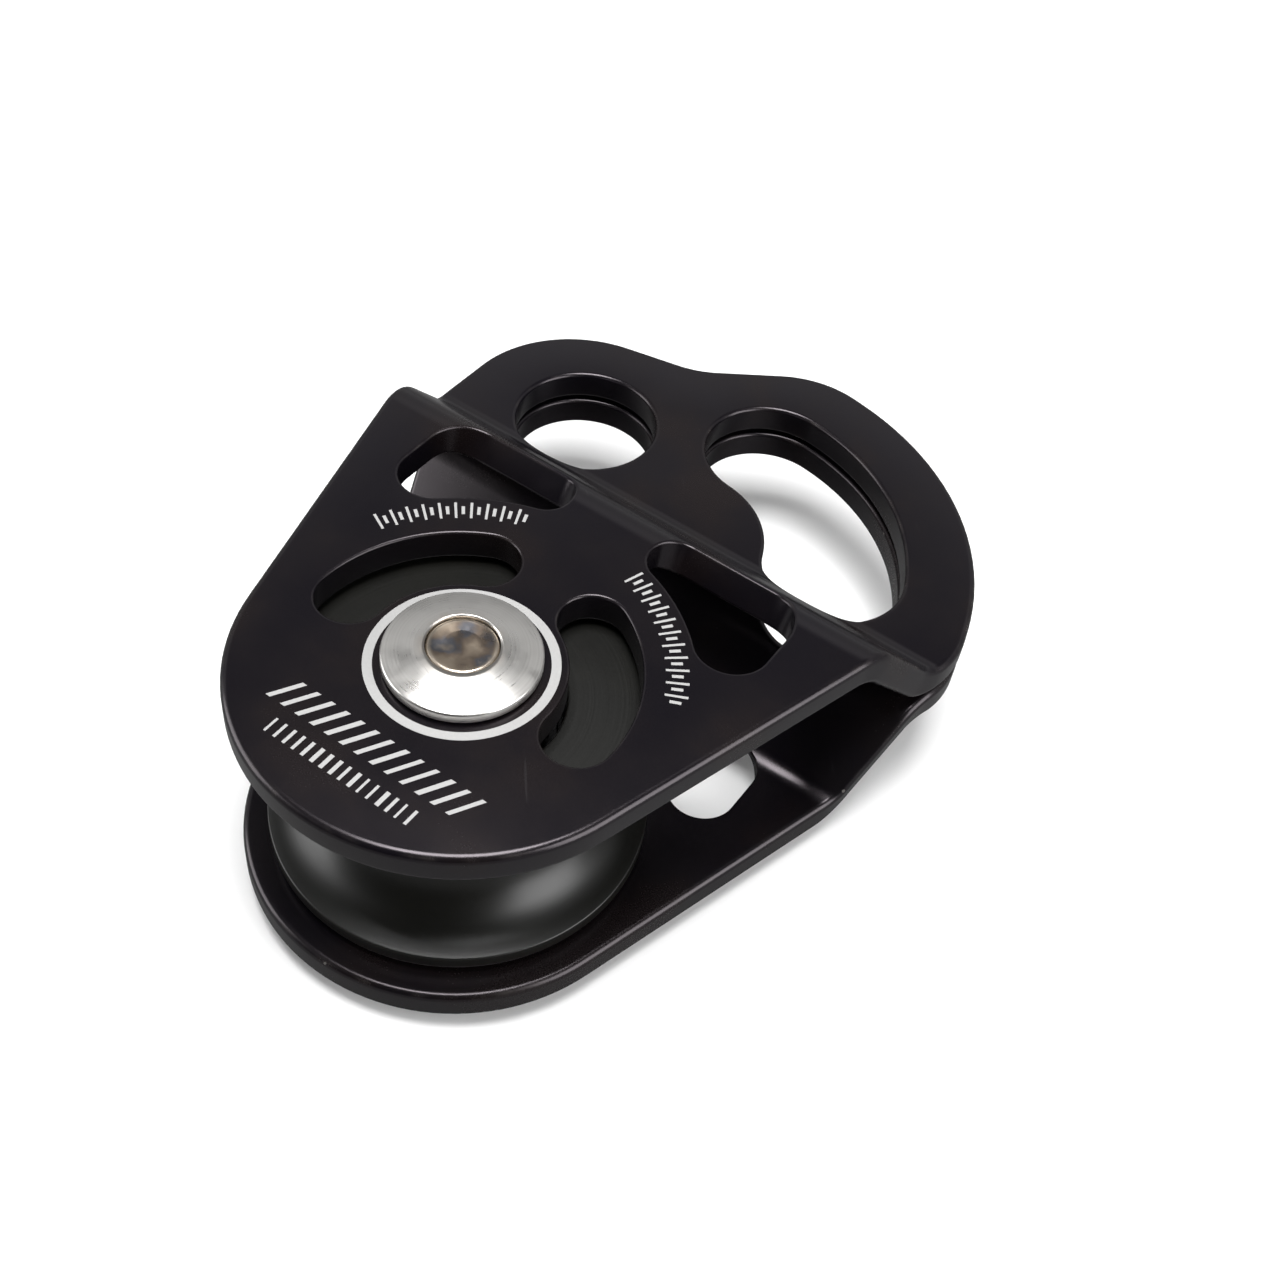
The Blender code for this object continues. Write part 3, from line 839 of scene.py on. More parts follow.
@dataclass(frozen=True)
class HeatTinted(Finish):
    """Steel whose upset end keeps the colours of the heat."""

    tints: tuple[tuple[float, Colour], ...] = (
        (0.30, (0.42, 0.36, 0.29, 1)),
        (0.44, (0.33, 0.27, 0.21, 1)),
        (0.52, (0.22, 0.175, 0.14, 1)),
        (0.58, (0.15, 0.155, 0.175, 1)),
        (0.66, (0.36, 0.315, 0.27, 1)),
        (0.80, (0.43, 0.35, 0.26, 1)),
    )
    rim: Colour = (0.46, 0.40, 0.33, 1)
    rim_radii: tuple[float, float] = (0.0027, 0.0032)
    roughness: float = 0.26

    def paint(self, tree: Tree, shader: bpy.types.Node, place: bpy.types.NodeSocket) -> None:
        """Straw, brown and blue in drifting patches, on a slightly uneven face.

        Args:
            tree: The material's tree.
            shader: Its surface shader.
            place: The piece's own coordinates.
        """
        grain, patches = tree.place(GRAIN, Vector=place, Scale=3800.0, Patch_Scale=330.0)
        drift = tree.noise(place, 260.0, 3.0)
        radius = tree.place(POLAR, Vector=place)["Radius"]
        body = tree.blend(tree.spread(radius, *self.rim_radii), tree.ramp(drift, self.tints), self.rim)
        tree.feed(shader.inputs["Base Color"], body)
        shader.inputs["Metallic"].default_value = 1.0
        rough = tree.calc("MULTIPLY_ADD", patches, 0.16, self.roughness)
        tree.feed(shader.inputs["Roughness"], rough)
        height = tree.calc("MULTIPLY_ADD", grain, 0.12, drift)
        tree.feed(shader.inputs["Normal"], tree.bump(height, 0.00015, 0.5))


@dataclass(frozen=True)
class PlainMetal(Finish):
    """A ground or sintered metal in one tone, with turning rings and pores."""

    dark: Colour = (0.40, 0.40, 0.41, 1)
    light: Colour = (0.60, 0.60, 0.61, 1)
    roughness: float = 0.2
    pore_depth: float = 0.000002

    def paint(self, tree: Tree, shader: bpy.types.Node, place: bpy.types.NodeSocket) -> None:
        """Two close tones, mixed by rings and patches.

        Args:
            tree: The material's tree.
            shader: Its surface shader.
            place: The piece's own coordinates.
        """
        rings = tree.place(TURNED_LINES, Vector=place, Pitch=0.00016)[0]
        grain, patches = tree.place(GRAIN, Vector=place, Scale=4500.0, Patch_Scale=500.0)
        tone = tree.calc("MULTIPLY_ADD", rings, 0.5, tree.calc("MULTIPLY", patches, 0.5))
        tree.feed(shader.inputs["Base Color"], tree.blend(tone, self.dark, self.light))
        shader.inputs["Metallic"].default_value = 1.0
        rough = tree.calc("MULTIPLY_ADD", rings, 0.08, self.roughness)
        tree.feed(shader.inputs["Roughness"], rough)
        height = tree.calc("ADD", grain, rings)
        tree.feed(shader.inputs["Normal"], tree.bump(height, self.pore_depth, 0.6))


@dataclass(frozen=True)
class Moulded(Finish):
    """A moulded or cut plastic or rubber, with a soft uneven skin."""

    dark: Colour = (0.62, 0.62, 0.59, 1)
    light: Colour = (0.76, 0.76, 0.73, 1)
    roughness: float = 0.42

    def paint(self, tree: Tree, shader: bpy.types.Node, place: bpy.types.NodeSocket) -> None:
        """Two close tones in slow patches, with specks.

        Args:
            tree: The material's tree.
            shader: Its surface shader.
            place: The piece's own coordinates.
        """
        grain, patches = tree.place(GRAIN, Vector=place, Scale=3000.0, Patch_Scale=350.0)
        specks = tree.place(DUST, Vector=place, Scale=900.0, Amount=0.08)[0]
        body = tree.blend(patches, self.dark, self.light)
        tree.feed(shader.inputs["Base Color"], tree.blend(specks, body, self.dark))
        rough = tree.calc("MULTIPLY_ADD", grain, 0.14, self.roughness)
        tree.feed(shader.inputs["Roughness"], rough)
        tree.feed(shader.inputs["Normal"], tree.bump(grain, 0.000008, 0.5))


SHEAVE_GREY = TurnedAnodised("sheave_grey_anodised", "sheave_anodised")
WASHER_STEEL = PolishedSteel("washer_polished_steel", "washer_steel")
AXLE_STEEL = HeatTinted("axle_heat_tinted_steel", "axle_steel")
BEARING_STEEL = PlainMetal("bearing_ground_steel", "bearing_steel")
BUSH_BRONZE = PlainMetal(
    "bush_sintered_bronze",
    "bush_bronze",
    dark=(0.30, 0.17, 0.07, 1),
    light=(0.50, 0.31, 0.13, 1),
    roughness=0.4,
    pore_depth=0.00001,
)
WHITE_ACETAL = Moulded("white_acetal", "acetal")
SEAL_RUBBER = Moulded(
    "seal_rubber",
    "shield_rubber",
    dark=(0.010, 0.010, 0.011, 1),
    light=(0.020, 0.020, 0.021, 1),
    roughness=0.55,
)


# Pieces


def add_piece(
    mesh: bpy.types.Mesh, body: str, finish: Finish, *replaced: str
) -> bpy.types.Object:
    """Puts a mesh in the scene as a finished piece.

    Args:
        mesh: The piece's mesh, in place; its name is the piece's name.
        body: The body that it moves with.
        finish: What it is dressed in.
        replaced: The design's nodes that it stands for.

    Returns:
        The piece.
    """
    piece = bpy.data.objects.new(mesh.name, mesh)
    bpy.context.scene.collection.objects.link(piece)
    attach(piece, body)
    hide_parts(*replaced)
    finish.dress(piece)
    log.info("%s: %d faces, on %s", piece.name, len(mesh.polygons), body)
    return piece


class Side(Enum):
    """Which half of the block a piece is in."""

    UPPER = 1
    LOWER = -1

    @property
    def word(self) -> str:
        """The half's name, as the nodes use it."""
        return self.name.lower()


class EdgeForm(Enum):
    """How far an edge of the sheet is rounded."""

    ROUNDED = 0.00075
    EASED = 0.00048
    BROKEN = 0.00032

    def section(self, thickness: float, reach: float) -> Path:
        """The edge's section, from the lower face round to the upper one.

        Args:
            thickness: The sheet's thickness.
            reach: How far the faces are followed into the sheet.

        Returns:
            An open run of (distance out from the nominal outline, height).
        """
        half = thickness / 2
        corners = [(0.0, -half, self.value), (0.0, half, self.value)]
        return rounded([(-reach, -half, 0.0), *corners, (-reach, half, 0.0)], closed=False)


@dataclass(frozen=True)
class Joggle:
    """Two opposite bends that take the sheet down to the level of the head."""

    start: float
    drop: float
    radius: float = 0.0050
    angle: float = math.radians(46)
    steps: int = 12

    @property
    def bend_run(self) -> float:
        """How far one bend reaches along the sheet's long axis."""
        return self.radius * math.sin(self.angle)

    @property
    def bend_drop(self) -> float:
        """How far one bend goes down."""
        return self.radius * (1 - math.cos(self.angle))

    @property
    def end(self) -> float:
        """Where the head's flat begins."""
        straight = (self.drop - 2 * self.bend_drop) / math.tan(self.angle)
        return self.start + 2 * self.bend_run + straight

    def lines(self) -> list[float]:
        """Where the sheet is divided so that it can bend."""
        reaches = [self.radius * math.sin(self.angle * i / self.steps) for i in range(self.steps + 1)]
        return [self.start + reach for reach in reaches] + [self.end - reach for reach in reaches]

    def tilt_and_drop(self, y: float) -> tuple[float, float]:
        """The sheet's slope and drop at a place along it.

        Args:
            y: The place, on the flat sheet.

        Returns:
            The slope, as an angle, and how far the sheet's middle has gone down.
        """
        along, left = y - self.start, self.end - y
        if along <= 0:
            return 0.0, 0.0
        if left <= 0:
            return 0.0, self.drop
        if along < self.bend_run:
            tilt = math.asin(along / self.radius)
            return tilt, self.radius * (1 - math.cos(tilt))
        if left < self.bend_run:
            tilt = math.asin(left / self.radius)
            return tilt, self.drop - self.radius * (1 - math.cos(tilt))
        return self.angle, self.bend_drop + (along - self.bend_run) * math.tan(self.angle)

    def bent(self, point: Vector, normal: Vector) -> tuple[Vector, Vector]:
        """Where a point of the flat sheet and its normal go.

        Args:
            point: The point; its height is measured from the middle of the sheet.
            normal: Its normal on the flat sheet.

        Returns:
            The point and its normal on the bent sheet.
        """
        tilt, drop = self.tilt_and_drop(point.y)
        c, s = math.cos(tilt), math.sin(tilt)
        flat = Vector((normal.x, normal.y * c))
        if flat.length > MERGE:
            flat *= Vector((normal.x, normal.y)).length / flat.length
        moved = Vector((point.x, point.y + point.z * s, point.z * c - drop))
        turned = Vector((flat.x, flat.y * c + normal.z * s, normal.z * c - flat.y * s))
        return moved, turned.normalized()


@dataclass
class CheekPlate:
    """One cheek: a round lower end about the axle, lightening slots, and a head with two eyes."""

    side: Side
    thickness: float = 0.0034
    sheave_overhang: float = 0.0026
    flank_angle: float = math.radians(16.4)
    bend_clearance: float = 0.0046
    head_half_width: float = 0.0327
    large_eye_place: tuple[float, float] = (0.0002, -0.0019)
    large_eye_radius: float = 0.0184
    large_eye_width: float = 0.0155
    large_eye_angles: tuple[float, float] = (math.radians(22), math.radians(83))
    large_lobe_wall: float = 0.0077
    large_lobe_angles: tuple[float, float] = (math.radians(15), math.radians(80))
    large_shoulder_round: float = 0.0110
    crest_round: float = 0.0118
    waist_angle: float = math.radians(37)
    waist_clearance: float = 0.0067
    waist_round: float = 0.0110
    small_eye_place: tuple[float, float] = (-0.0172, 0.0069)
    small_eye_radius: float = 0.0081
    small_lobe_wall: float = 0.0068
    small_lobe_slope: float = math.radians(12.5)
    small_lobe_round: float = 0.0145
    small_shoulder_round: float = 0.0220
    kidney_radius: float = 0.01325
    kidney_width: float = 0.0068
    kidney_angles: tuple[float, float] = (math.radians(119), math.radians(181))
    corner_slot_wall: float = 0.0051
    corner_slot_top: float = 0.0261
    corner_slot_outer: float = 0.0218
    toe_round: float = 0.00285
    heel_round: float = 0.0037
    top_round: float = 0.0042
    bore_radius: float = 0.0056
    face_reach: float = 0.0014
    joggle: Joggle = field(init=False)
    end_radius: float = field(init=False)
    level: float = field(init=False)
    large_eye: Vector = field(init=False)
    small_eye: Vector = field(init=False)

    def __post_init__(self) -> None:
        """Takes the joggle's place and depth from the frame, and what follows from them."""
        low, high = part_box(self.node)
        sheave_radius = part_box("sheave")[1].x
        self.end_radius = sheave_radius + self.sheave_overhang
        self.joggle = Joggle(sheave_radius + self.bend_clearance, high.z - low.z - self.thickness)
        self.level = self.face_level - self.side.value * self.thickness / 2
        self.large_eye = Vector(self.large_eye_place) + Vector((0, self.joggle.end))
        self.small_eye = Vector(self.small_eye_place) + Vector((0, self.joggle.end))

    @property
    def node(self) -> str:
        """The design's node for this cheek."""
        return f"{self.side.word}_cheek"

    @property
    def face_level(self) -> float:
        """The height of the cheek's outer face."""
        low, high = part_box(self.node)
        return high.z if self.side is Side.UPPER else low.z

    def outline(self) -> Path:
        """The cheek's outer outline, flat.

        Returns:
            The outline: each side of it is a line, and neighbouring lines are joined by an arc.
        """
        lobe_radius = self.large_eye_radius + self.large_eye_width / 2 + self.large_lobe_wall
        right = unit(-self.flank_angle)
        left = Vector((-right.x, right.y))
        low_lobe, high_lobe = (
            (unit(angle), lobe_radius + self.large_eye.dot(unit(angle)))
            for angle in self.large_lobe_angles
        )
        waist_normal = unit(self.waist_angle + math.pi / 2)
        upper_end = self.large_eye + unit(self.large_eye_angles[1]) * self.large_eye_radius
        waist_reach = self.large_eye_width / 2 + self.waist_clearance
        waist = (waist_normal, upper_end.dot(waist_normal) + waist_reach)
        small_normal = unit(self.small_lobe_slope + math.pi / 2)
        small_reach = self.small_eye_radius + self.small_lobe_wall
        small = (small_normal, self.small_eye.dot(small_normal) + small_reach)
        outer = (Vector((-1, 0)), self.head_half_width)
        right_flank, left_flank = (right, self.end_radius), (left, self.end_radius)

        def crossing(first: tuple[Vector, float], second: tuple[Vector, float]) -> Vector:
            """Where two lines meet.

            Args:
                first: A line, as its unit normal and its distance from the axle.
                second: The other line.

            Returns:
                The meeting point.
            """
            (na, da), (nb, db) = first, second
            scale = na.x * nb.y - na.y * nb.x
            return Vector(((da * nb.y - db * na.y) / scale, (na.x * db - nb.x * da) / scale))

        corners = (
            (Vector((0, -self.end_radius / math.sin(self.flank_angle))), self.end_radius),
            (crossing(right_flank, low_lobe), self.large_shoulder_round),
            (crossing(low_lobe, high_lobe), lobe_radius),
            (crossing(high_lobe, waist), self.crest_round),
            (crossing(waist, small), self.waist_round),
            (crossing(small, outer), self.small_lobe_round),
            (crossing(outer, left_flank), self.small_shoulder_round),
        )
        return rounded([(*spot, radius) for spot, radius in corners], step=FINE_STEP)

    def corner_slot(self) -> Path:
        """The slot beside the joggle, round the axle's side.

        Returns:
            Its outline, with a toe, a heel and an upper corner.
        """
        wall = self.kidney_radius + self.kidney_width / 2 + self.corner_slot_wall
        toe_y = self.corner_slot_top - self.toe_round
        toe_x = math.sqrt((wall + self.toe_round) ** 2 - toe_y**2)
        heel_x = self.corner_slot_outer - self.heel_round
        heel_y = math.sqrt((wall + self.heel_round) ** 2 - heel_x**2)
        toe_angle, heel_angle = math.atan2(toe_y, toe_x), math.atan2(heel_y, heel_x)
        top = Vector((self.corner_slot_outer - self.top_round, self.corner_slot_top - self.top_round))
        points = arc((toe_x, toe_y), self.toe_round, math.pi / 2, math.pi + toe_angle)
        points += arc((0, 0), wall, toe_angle, heel_angle)[1:-1]
        points += arc((heel_x, heel_y), self.heel_round, heel_angle + math.pi, 2 * math.pi)
        points += arc(top, self.top_round, 0, math.pi / 2)
        return Path(points)

    def openings(self) -> list[tuple[Path, EdgeForm]]:
        """Every opening of the cheek, flat.

        Returns:
            Each opening's outline, with the way its edge is finished.
        """
        axle = Vector((0, 0))
        kidney = curved_slot(axle, self.kidney_radius, self.kidney_width, self.kidney_angles)
        corner = self.corner_slot()
        large_eye = curved_slot(
            self.large_eye, self.large_eye_radius, self.large_eye_width, self.large_eye_angles
        )
        full_turn = (0.0, 2 * math.pi)
        return [
            (Path(arc(axle, self.bore_radius, *full_turn)), EdgeForm.BROKEN),
            (kidney, EdgeForm.BROKEN),
            (kidney.mirrored(), EdgeForm.BROKEN),
            (corner, EdgeForm.BROKEN),
            (corner.mirrored(), EdgeForm.BROKEN),
            (Path(arc(self.small_eye, self.small_eye_radius, *full_turn)), EdgeForm.EASED),
            (large_eye, EdgeForm.EASED),
        ]

    def flat_sheet(self) -> bmesh.types.BMesh:
        """The flat sheet with its finished edges, its middle on z = 0.

        Returns:
            A mesh whose vertices carry their flat normal and a mark on the rounded edges.
        """
        work = bmesh.new()
        normal_layer = work.verts.layers.float_vector.new("flat_normal")
        edge_layer = work.verts.layers.float.new("edge")
        faces_of = {-1: [], 1: []}
        loops = [(self.outline().turned_to(True), EdgeForm.ROUNDED)]
        loops += [(path.turned_to(False), form) for path, form in self.openings()]
        for path, form in loops:
            section = form.section(self.thickness, self.face_reach)
            steps = list(zip(section.points, section.normals()))[1:-1]
            rings = []
            for spot, lean in steps:
                ring = []
                for point, normal in zip(path.points, path.normals()):
                    vert = work.verts.new((*(point + normal * spot.x), spot.y))
                    vert[normal_layer] = (*(normal * lean.x), lean.y)
                    vert[edge_layer] = 1 - abs(1 - 2 * abs(math.atan2(lean.y, lean.x)) / (math.pi / 2))
                    ring.append(vert)
                rings.append(ring)
            for low, high in zip(rings, rings[1:]):
                for j in range(len(low)):
                    work.faces.new((low[j - 1], low[j], high[j], high[j - 1]))
            for way, ring in ((-1, rings[0]), (1, rings[-1])):
                faces_of[way] += [work.edges.get((ring[j - 1], ring[j])) for j in range(len(ring))]
        for way, edges in faces_of.items():
            made = bmesh.ops.triangle_fill(work, use_beauty=True, edges=edges, normal=(0, 0, way))
            for face in made["geom"]:
                if isinstance(face, bmesh.types.BMFace) and face.normal.z * way < 0:
                    face.normal_flip()
        return work

    def mesh(self) -> bpy.types.Mesh:
        """The finished cheek, bent and in place.

        Returns:
            The mesh.
        """
        work = self.flat_sheet()
        for y in self.joggle.lines():
            bmesh.ops.bisect_plane(
                work,
                geom=work.verts[:] + work.edges[:] + work.faces[:],
                dist=MERGE,
                plane_co=(0, y, 0),
                plane_no=(0, 1, 0),
            )
        work.verts.index_update()
        layer = work.verts.layers.float_vector["flat_normal"]
        edge_layer = work.verts.layers.float["edge"]
        way = self.side.value
        points, normals, edges = [], [], []
        for vert in work.verts:
            point, normal = self.joggle.bent(vert.co, vert[layer])
            points.append(Vector((point.x, point.y, point.z * way + self.level)))
            normals.append(Vector((normal.x, normal.y, normal.z * way)))
            edges.append(vert[edge_layer])
        faces = [[vert.index for vert in face.verts][::way] for face in work.faces]
        work.free()
        mesh = finished_mesh(f"{self.side.word}_cheek_plate", points, faces, normals)
        mesh.attributes.new("edge", "FLOAT", "POINT").data.foreach_set("value", edges)
        return mesh

    def build(self) -> bpy.types.Object:
        """Builds and dresses the cheek.

        Returns:
            The cheek.
        """
        finish = BlackAnodised(
            f"{self.side.word}_cheek_black_anodised",
            "cheek_anodised",
            face_level=self.face_level,
        )
        return add_piece(self.mesh(), f"{self.side.word}_side", finish, self.node)


@dataclass
class AxleSet:
    """The riveted axle and the rings that are threaded on it or seated round it."""

    edge: float = 0.00012
    fit: float = 0.00006
    axle_radius: float = 0.0050
    journal_radius: float = 0.0040
    rivet_radius: float = 0.0034
    rivet_edge: float = 0.0004
    rivet_dish: float = 0.00022
    dome_rim: float = 0.0011
    dome_base_round: float = 0.0002
    bush_wall: float = 0.0010
    fine_steps: int = 120
    steps: int = 72

    def build(self) -> None:
        """Builds and dresses every piece of the set."""
        self.build_axle()
        for side in Side:
            self.build_dome_washer(side)
            self.build_rings(side)

    def build_axle(self) -> None:
        """The axle: a thick middle, two journals and two upset ends with a shallow dish."""
        low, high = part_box("axle")
        middle = (low.z + high.z) / 2
        end = high.z - middle
        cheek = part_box("upper_cheek")[1].z - middle
        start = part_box("upper_thrust_washer")[0].z - middle - 0.0003
        half = [
            (self.axle_radius, start, self.edge),
            (self.journal_radius, start, self.edge),
            (self.journal_radius, cheek, self.edge),
            (self.rivet_radius, cheek, self.edge),
            (self.rivet_radius, end, self.rivet_edge),
            (self.rivet_radius * 0.55, end - self.rivet_dish, 0.001),
            (0.0, end - self.rivet_dish * 1.2, 0.0),
        ]
        below = [(radius, -z, rounding) for radius, z, rounding in reversed(half)]
        section = rounded(below + half, closed=False)
        mesh = turned_mesh("riveted_axle", section, self.fine_steps)
        mesh.transform(Matrix.Translation((0, 0, middle)))
        add_piece(mesh, "axle_set", AXLE_STEEL, "axle")

    def build_dome_washer(self, side: Side) -> None:
        """A domed washer: a short upright rim, then a spherical cap up to the bore.

        Args:
            side: The half of the block that it is on.
        """
        node = f"{side.word}_dome_washer"
        low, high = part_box(node)
        radius = high.x
        bore = self.rivet_radius + self.fit
        height = high.z - low.z
        rise = height - self.dome_rim
        base = (radius**2 - bore**2 - rise**2) / (2 * rise)
        sphere = math.hypot(radius, base)
        start, end = math.atan2(base, radius), math.acos(bore / sphere)
        cap = arc((0, self.dome_rim - base), sphere, start, end, math.radians(1))
        lower = rounded(
            [
                (bore, 0.0, self.dome_base_round),
                (radius, 0.0, self.dome_base_round),
                (radius, self.dome_rim, self.edge * 2),
                (cap[2].x, cap[2].y, 0.0),
            ],
            closed=False,
        )
        section = Path(lower.points + cap[3:])
        if side is Side.LOWER:
            section = Path([Vector((p.x, -p.y)) for p in section.points])
        mesh = turned_mesh(f"{node}_cap", section, self.fine_steps)
        seat = low.z if side is Side.UPPER else high.z
        mesh.transform(Matrix.Translation((0, 0, seat)))
        add_piece(mesh, "axle_set", WASHER_STEEL, node)

    def build_rings(self, side: Side) -> None:
        """The plain rings of one half: bush, thrust washer and spacer.

        Args:
            side: The half of the block that they are in.
        """
        journal = self.journal_radius + self.fit * 2
        shaft = self.axle_radius + self.fit * 2
        rings = (
            ("bush", journal, f"{side.word}_side", BUSH_BRONZE),
            ("thrust_washer", journal, "axle_set", WHITE_ACETAL),
            ("spacer", shaft, "axle_set", BEARING_STEEL),
        )
        for word, bore, body, finish in rings:
            node = f"{side.word}_{word}"
            low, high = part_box(node)
            corners = [(bore, low.z), (high.x, low.z), (high.x, high.z), (bore, high.z)]
            section = rounded([(*corner, self.edge) for corner in corners])
            mesh = turned_mesh(f"{node}_ring", section, self.steps)
            add_piece(mesh, body, finish, node)


@dataclass
class Sheave:
    """The grooved wheel and the spring ring that keeps the bearing in it."""

    groove_radius: float = 0.0072
    groove_depth: float = 0.0060
    rim_round: float = 0.0006
    edge: float = 0.0002
    seat_clearance: float = 0.0003
    shoulder: float = 0.0014
    ring_groove_depth: float = 0.0007
    steps: int = 180

    def build(self) -> None:
        """Builds and dresses the wheel and its ring."""
        self.build_wheel()
        self.build_retaining_ring()

    def build_wheel(self) -> None:
        """The wheel: a round groove for the rope, rounded rims and a stepped bore."""
        low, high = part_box("sheave")
        bearing_low, bearing_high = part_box("bearing_outer_ring")
        ring_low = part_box("retaining_ring")[0].z
        middle = (low.z + high.z) / 2
        half = high.z - middle
        radius = high.x
        root = radius - self.groove_depth
        centre = root + self.groove_radius
        seat = bearing_high.x + self.seat_clearance
        seat_half = (bearing_high.z - bearing_low.z) / 2 + self.seat_clearance
        ring_end = middle - ring_low + self.seat_clearance
        reach = math.acos((centre - radius + self.rim_round) / self.groove_radius)
        groove = arc((centre, 0), self.groove_radius, math.pi + reach, math.pi - reach)
        lip = groove[-1].y
        lower = rounded(
            [
                (seat, -half, self.edge),
                (radius, -half, self.rim_round),
                (radius, -lip - self.edge, self.edge),
                (groove[0].x, groove[0].y, 0.0),
            ],
            closed=False,
        )
        upper = rounded(
            [
                (groove[-1].x, groove[-1].y, 0.0),
                (radius, lip + self.edge, self.edge),
                (radius, half, self.rim_round),
                (seat - self.shoulder, half, self.edge),
                (seat - self.shoulder, seat_half, self.edge),
                (seat, seat_half, self.edge / 2),
                (seat, -seat_half, self.edge / 2),
                (seat + self.ring_groove_depth, -seat_half, self.edge / 2),
                (seat + self.ring_groove_depth, -ring_end, self.edge / 2),
                (seat, -ring_end, self.edge / 2),
                (seat, -half, 0.0),
            ],
            closed=False,
        )
        section = Path(lower.points + groove[1:-1] + upper.points[:-1])
        mesh = turned_mesh("sheave_wheel", section, self.steps)
        mesh.transform(Matrix.Translation((0, 0, middle)))
        add_piece(mesh, "sheave_set", SHEAVE_GREY, "sheave")

    def build_retaining_ring(self) -> None:
        """The spring ring stays as designed, with its edges broken."""
        dress_node("retaining_ring", BEARING_STEEL, self.edge / 4)


@dataclass
class Bearing:
    """The sealed ball bearing inside the sheave."""

    land_clearance: float = 0.0003
    ring_chamfer: float = 0.0003
    edge: float = 0.0001
    shaft_radius: float = 0.0051
    ball_count: int = 9
    race_gap: float = 0.00004
    steps: int = 72
    ball_steps: int = 32
    ball_facet: float = math.radians(9)
    ball_radius: float = field(init=False)
    pitch_radius: float = field(init=False)
    middle: float = field(init=False)

    def __post_init__(self) -> None:
        """Takes the balls' size and place from the frame."""
        low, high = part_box("bearing_ball_1")
        self.ball_radius = (high.x - low.x) / 2
        self.pitch_radius = (high.x + low.x) / 2
        self.middle = (high.z + low.z) / 2

    def build(self) -> None:
        """Builds and dresses the rings, balls, cage and shields."""
        outer_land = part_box("upper_bearing_shield")[1].x + self.land_clearance
        inner_land = 2 * self.pitch_radius - outer_land
        self.build_race("inner", inner_land, self.shaft_radius, math.pi, "axle_set")
        outer_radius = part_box("bearing_outer_ring")[1].x
        self.build_race("outer", outer_land, outer_radius, 0.0, "sheave_set")
        self.build_shields(inner_land + self.land_clearance, outer_land - self.edge)
        self.build_balls()
        dress_node("bearing_cage", WHITE_ACETAL, self.edge / 2)

    def build_race(self, word: str, land: float, back: float, deepest: float, body: str) -> None:
        """One ring, with a ball groove in its land.

        Args:
            word: inner or outer.
            land: The radius of the side that faces the balls.
            back: The radius of the other side.
            deepest: The direction of the groove's deepest point, seen from a ball.
            body: The body that the ring moves with.
        """
        node = f"bearing_{word}_ring"
        half = (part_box(node)[1].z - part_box(node)[0].z) / 2
        race = self.ball_radius + self.race_gap
        reach = math.acos(abs(land - self.pitch_radius) / race)
        groove = arc((self.pitch_radius, 0), race, deepest - reach, deepest + reach)
        lead_in = self.ring_chamfer
        groove = sorted(groove, key=lambda spot: spot.y)
        low = [(back, 0, 0), (back, -half, lead_in), (land, -half, self.edge), (land, 0, 0)]
        high = [(land, 0, 0), (land, half, self.edge), (back, half, lead_in), (back, 0, 0)]
        before, after = rounded(low, False), rounded(high, False)
        section = Path(before.points[:-1] + groove + after.points[1:-1])
        mesh = turned_mesh(f"{node}_race", section, self.steps)
        mesh.transform(Matrix.Translation((0, 0, self.middle)))
        add_piece(mesh, body, BEARING_STEEL, node)

    def build_shields(self, inner: float, outer: float) -> None:
        """The two seals, each a thin ring with eased edges.

        Args:
            inner: The radius of their holes.
            outer: The radius of their rims.
        """
        for side in Side:
            node = f"{side.word}_bearing_shield"
            low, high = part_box(node)
            corners = [(inner, low.z), (outer, low.z), (outer, high.z), (inner, high.z)]
            section = rounded([(*corner, self.edge) for corner in corners])
            mesh = turned_mesh(f"{node}_seal", section, self.steps)
            add_piece(mesh, "sheave_set", SEAL_RUBBER, node)

    def build_balls(self) -> None:
        """The balls, each turned from a half circle."""
        poles = (-math.pi / 2, math.pi / 2)
        section = Path(arc((0, 0), self.ball_radius, *poles, self.ball_facet), closed=False)
        for end in (0, -1):
            section.points[end].x = 0.0
        for number in range(self.ball_count):
            mesh = turned_mesh(f"ball_{number + 1}", section, self.ball_steps)
            spot = unit(2 * math.pi * number / self.ball_count) * self.pitch_radius
            mesh.transform(Matrix.Translation((*spot, self.middle)))
            add_piece(mesh, "ball_set", BEARING_STEEL, f"bearing_ball_{number + 1}")


def dress_node(node: str, finish: Finish, edge: float) -> None:
    """Finishes a node whose designed shape stays.

    Args:
        node: The node.
        finish: What it is dressed in.
        edge: How far its edges are broken.
    """
    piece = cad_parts[node]
    bevel = piece.modifiers.new("broken_edges", "BEVEL")
    bevel.width = edge
    bevel.segments = 2
    bevel.angle_limit = math.radians(40)
    bevel.harden_normals = True
    piece.data.materials.clear()
    piece.data.materials.append(finish.material())
    log.info("%s: kept, dressed in %s", node, finish.name)


# Studio


def grey(value: float) -> Colour:
    """The opaque grey of that value."""
    return (value, value, value, 1)


@dataclass(frozen=True)
class StudioLight:
    """A square soft light; power is in watts."""

    name: str
    place: tuple[float, float, float]
    size: float
    power: float

    def build(self, aim: Vector) -> None:
        """Adds the light.

        Args:
            aim: The point that it faces.
        """
        light = bpy.data.lights.new(self.name, "AREA")
        light.shape = "SQUARE"
        light.size = self.size
        light.energy = self.power
        holder = bpy.data.objects.new(self.name, light)
        bpy.context.scene.collection.objects.link(holder)
        place = Vector(self.place)
        turn = (aim - place).to_track_quat("-Z", "Y").to_matrix().to_4x4()
        holder.matrix_world = Matrix.Translation(place) @ turn


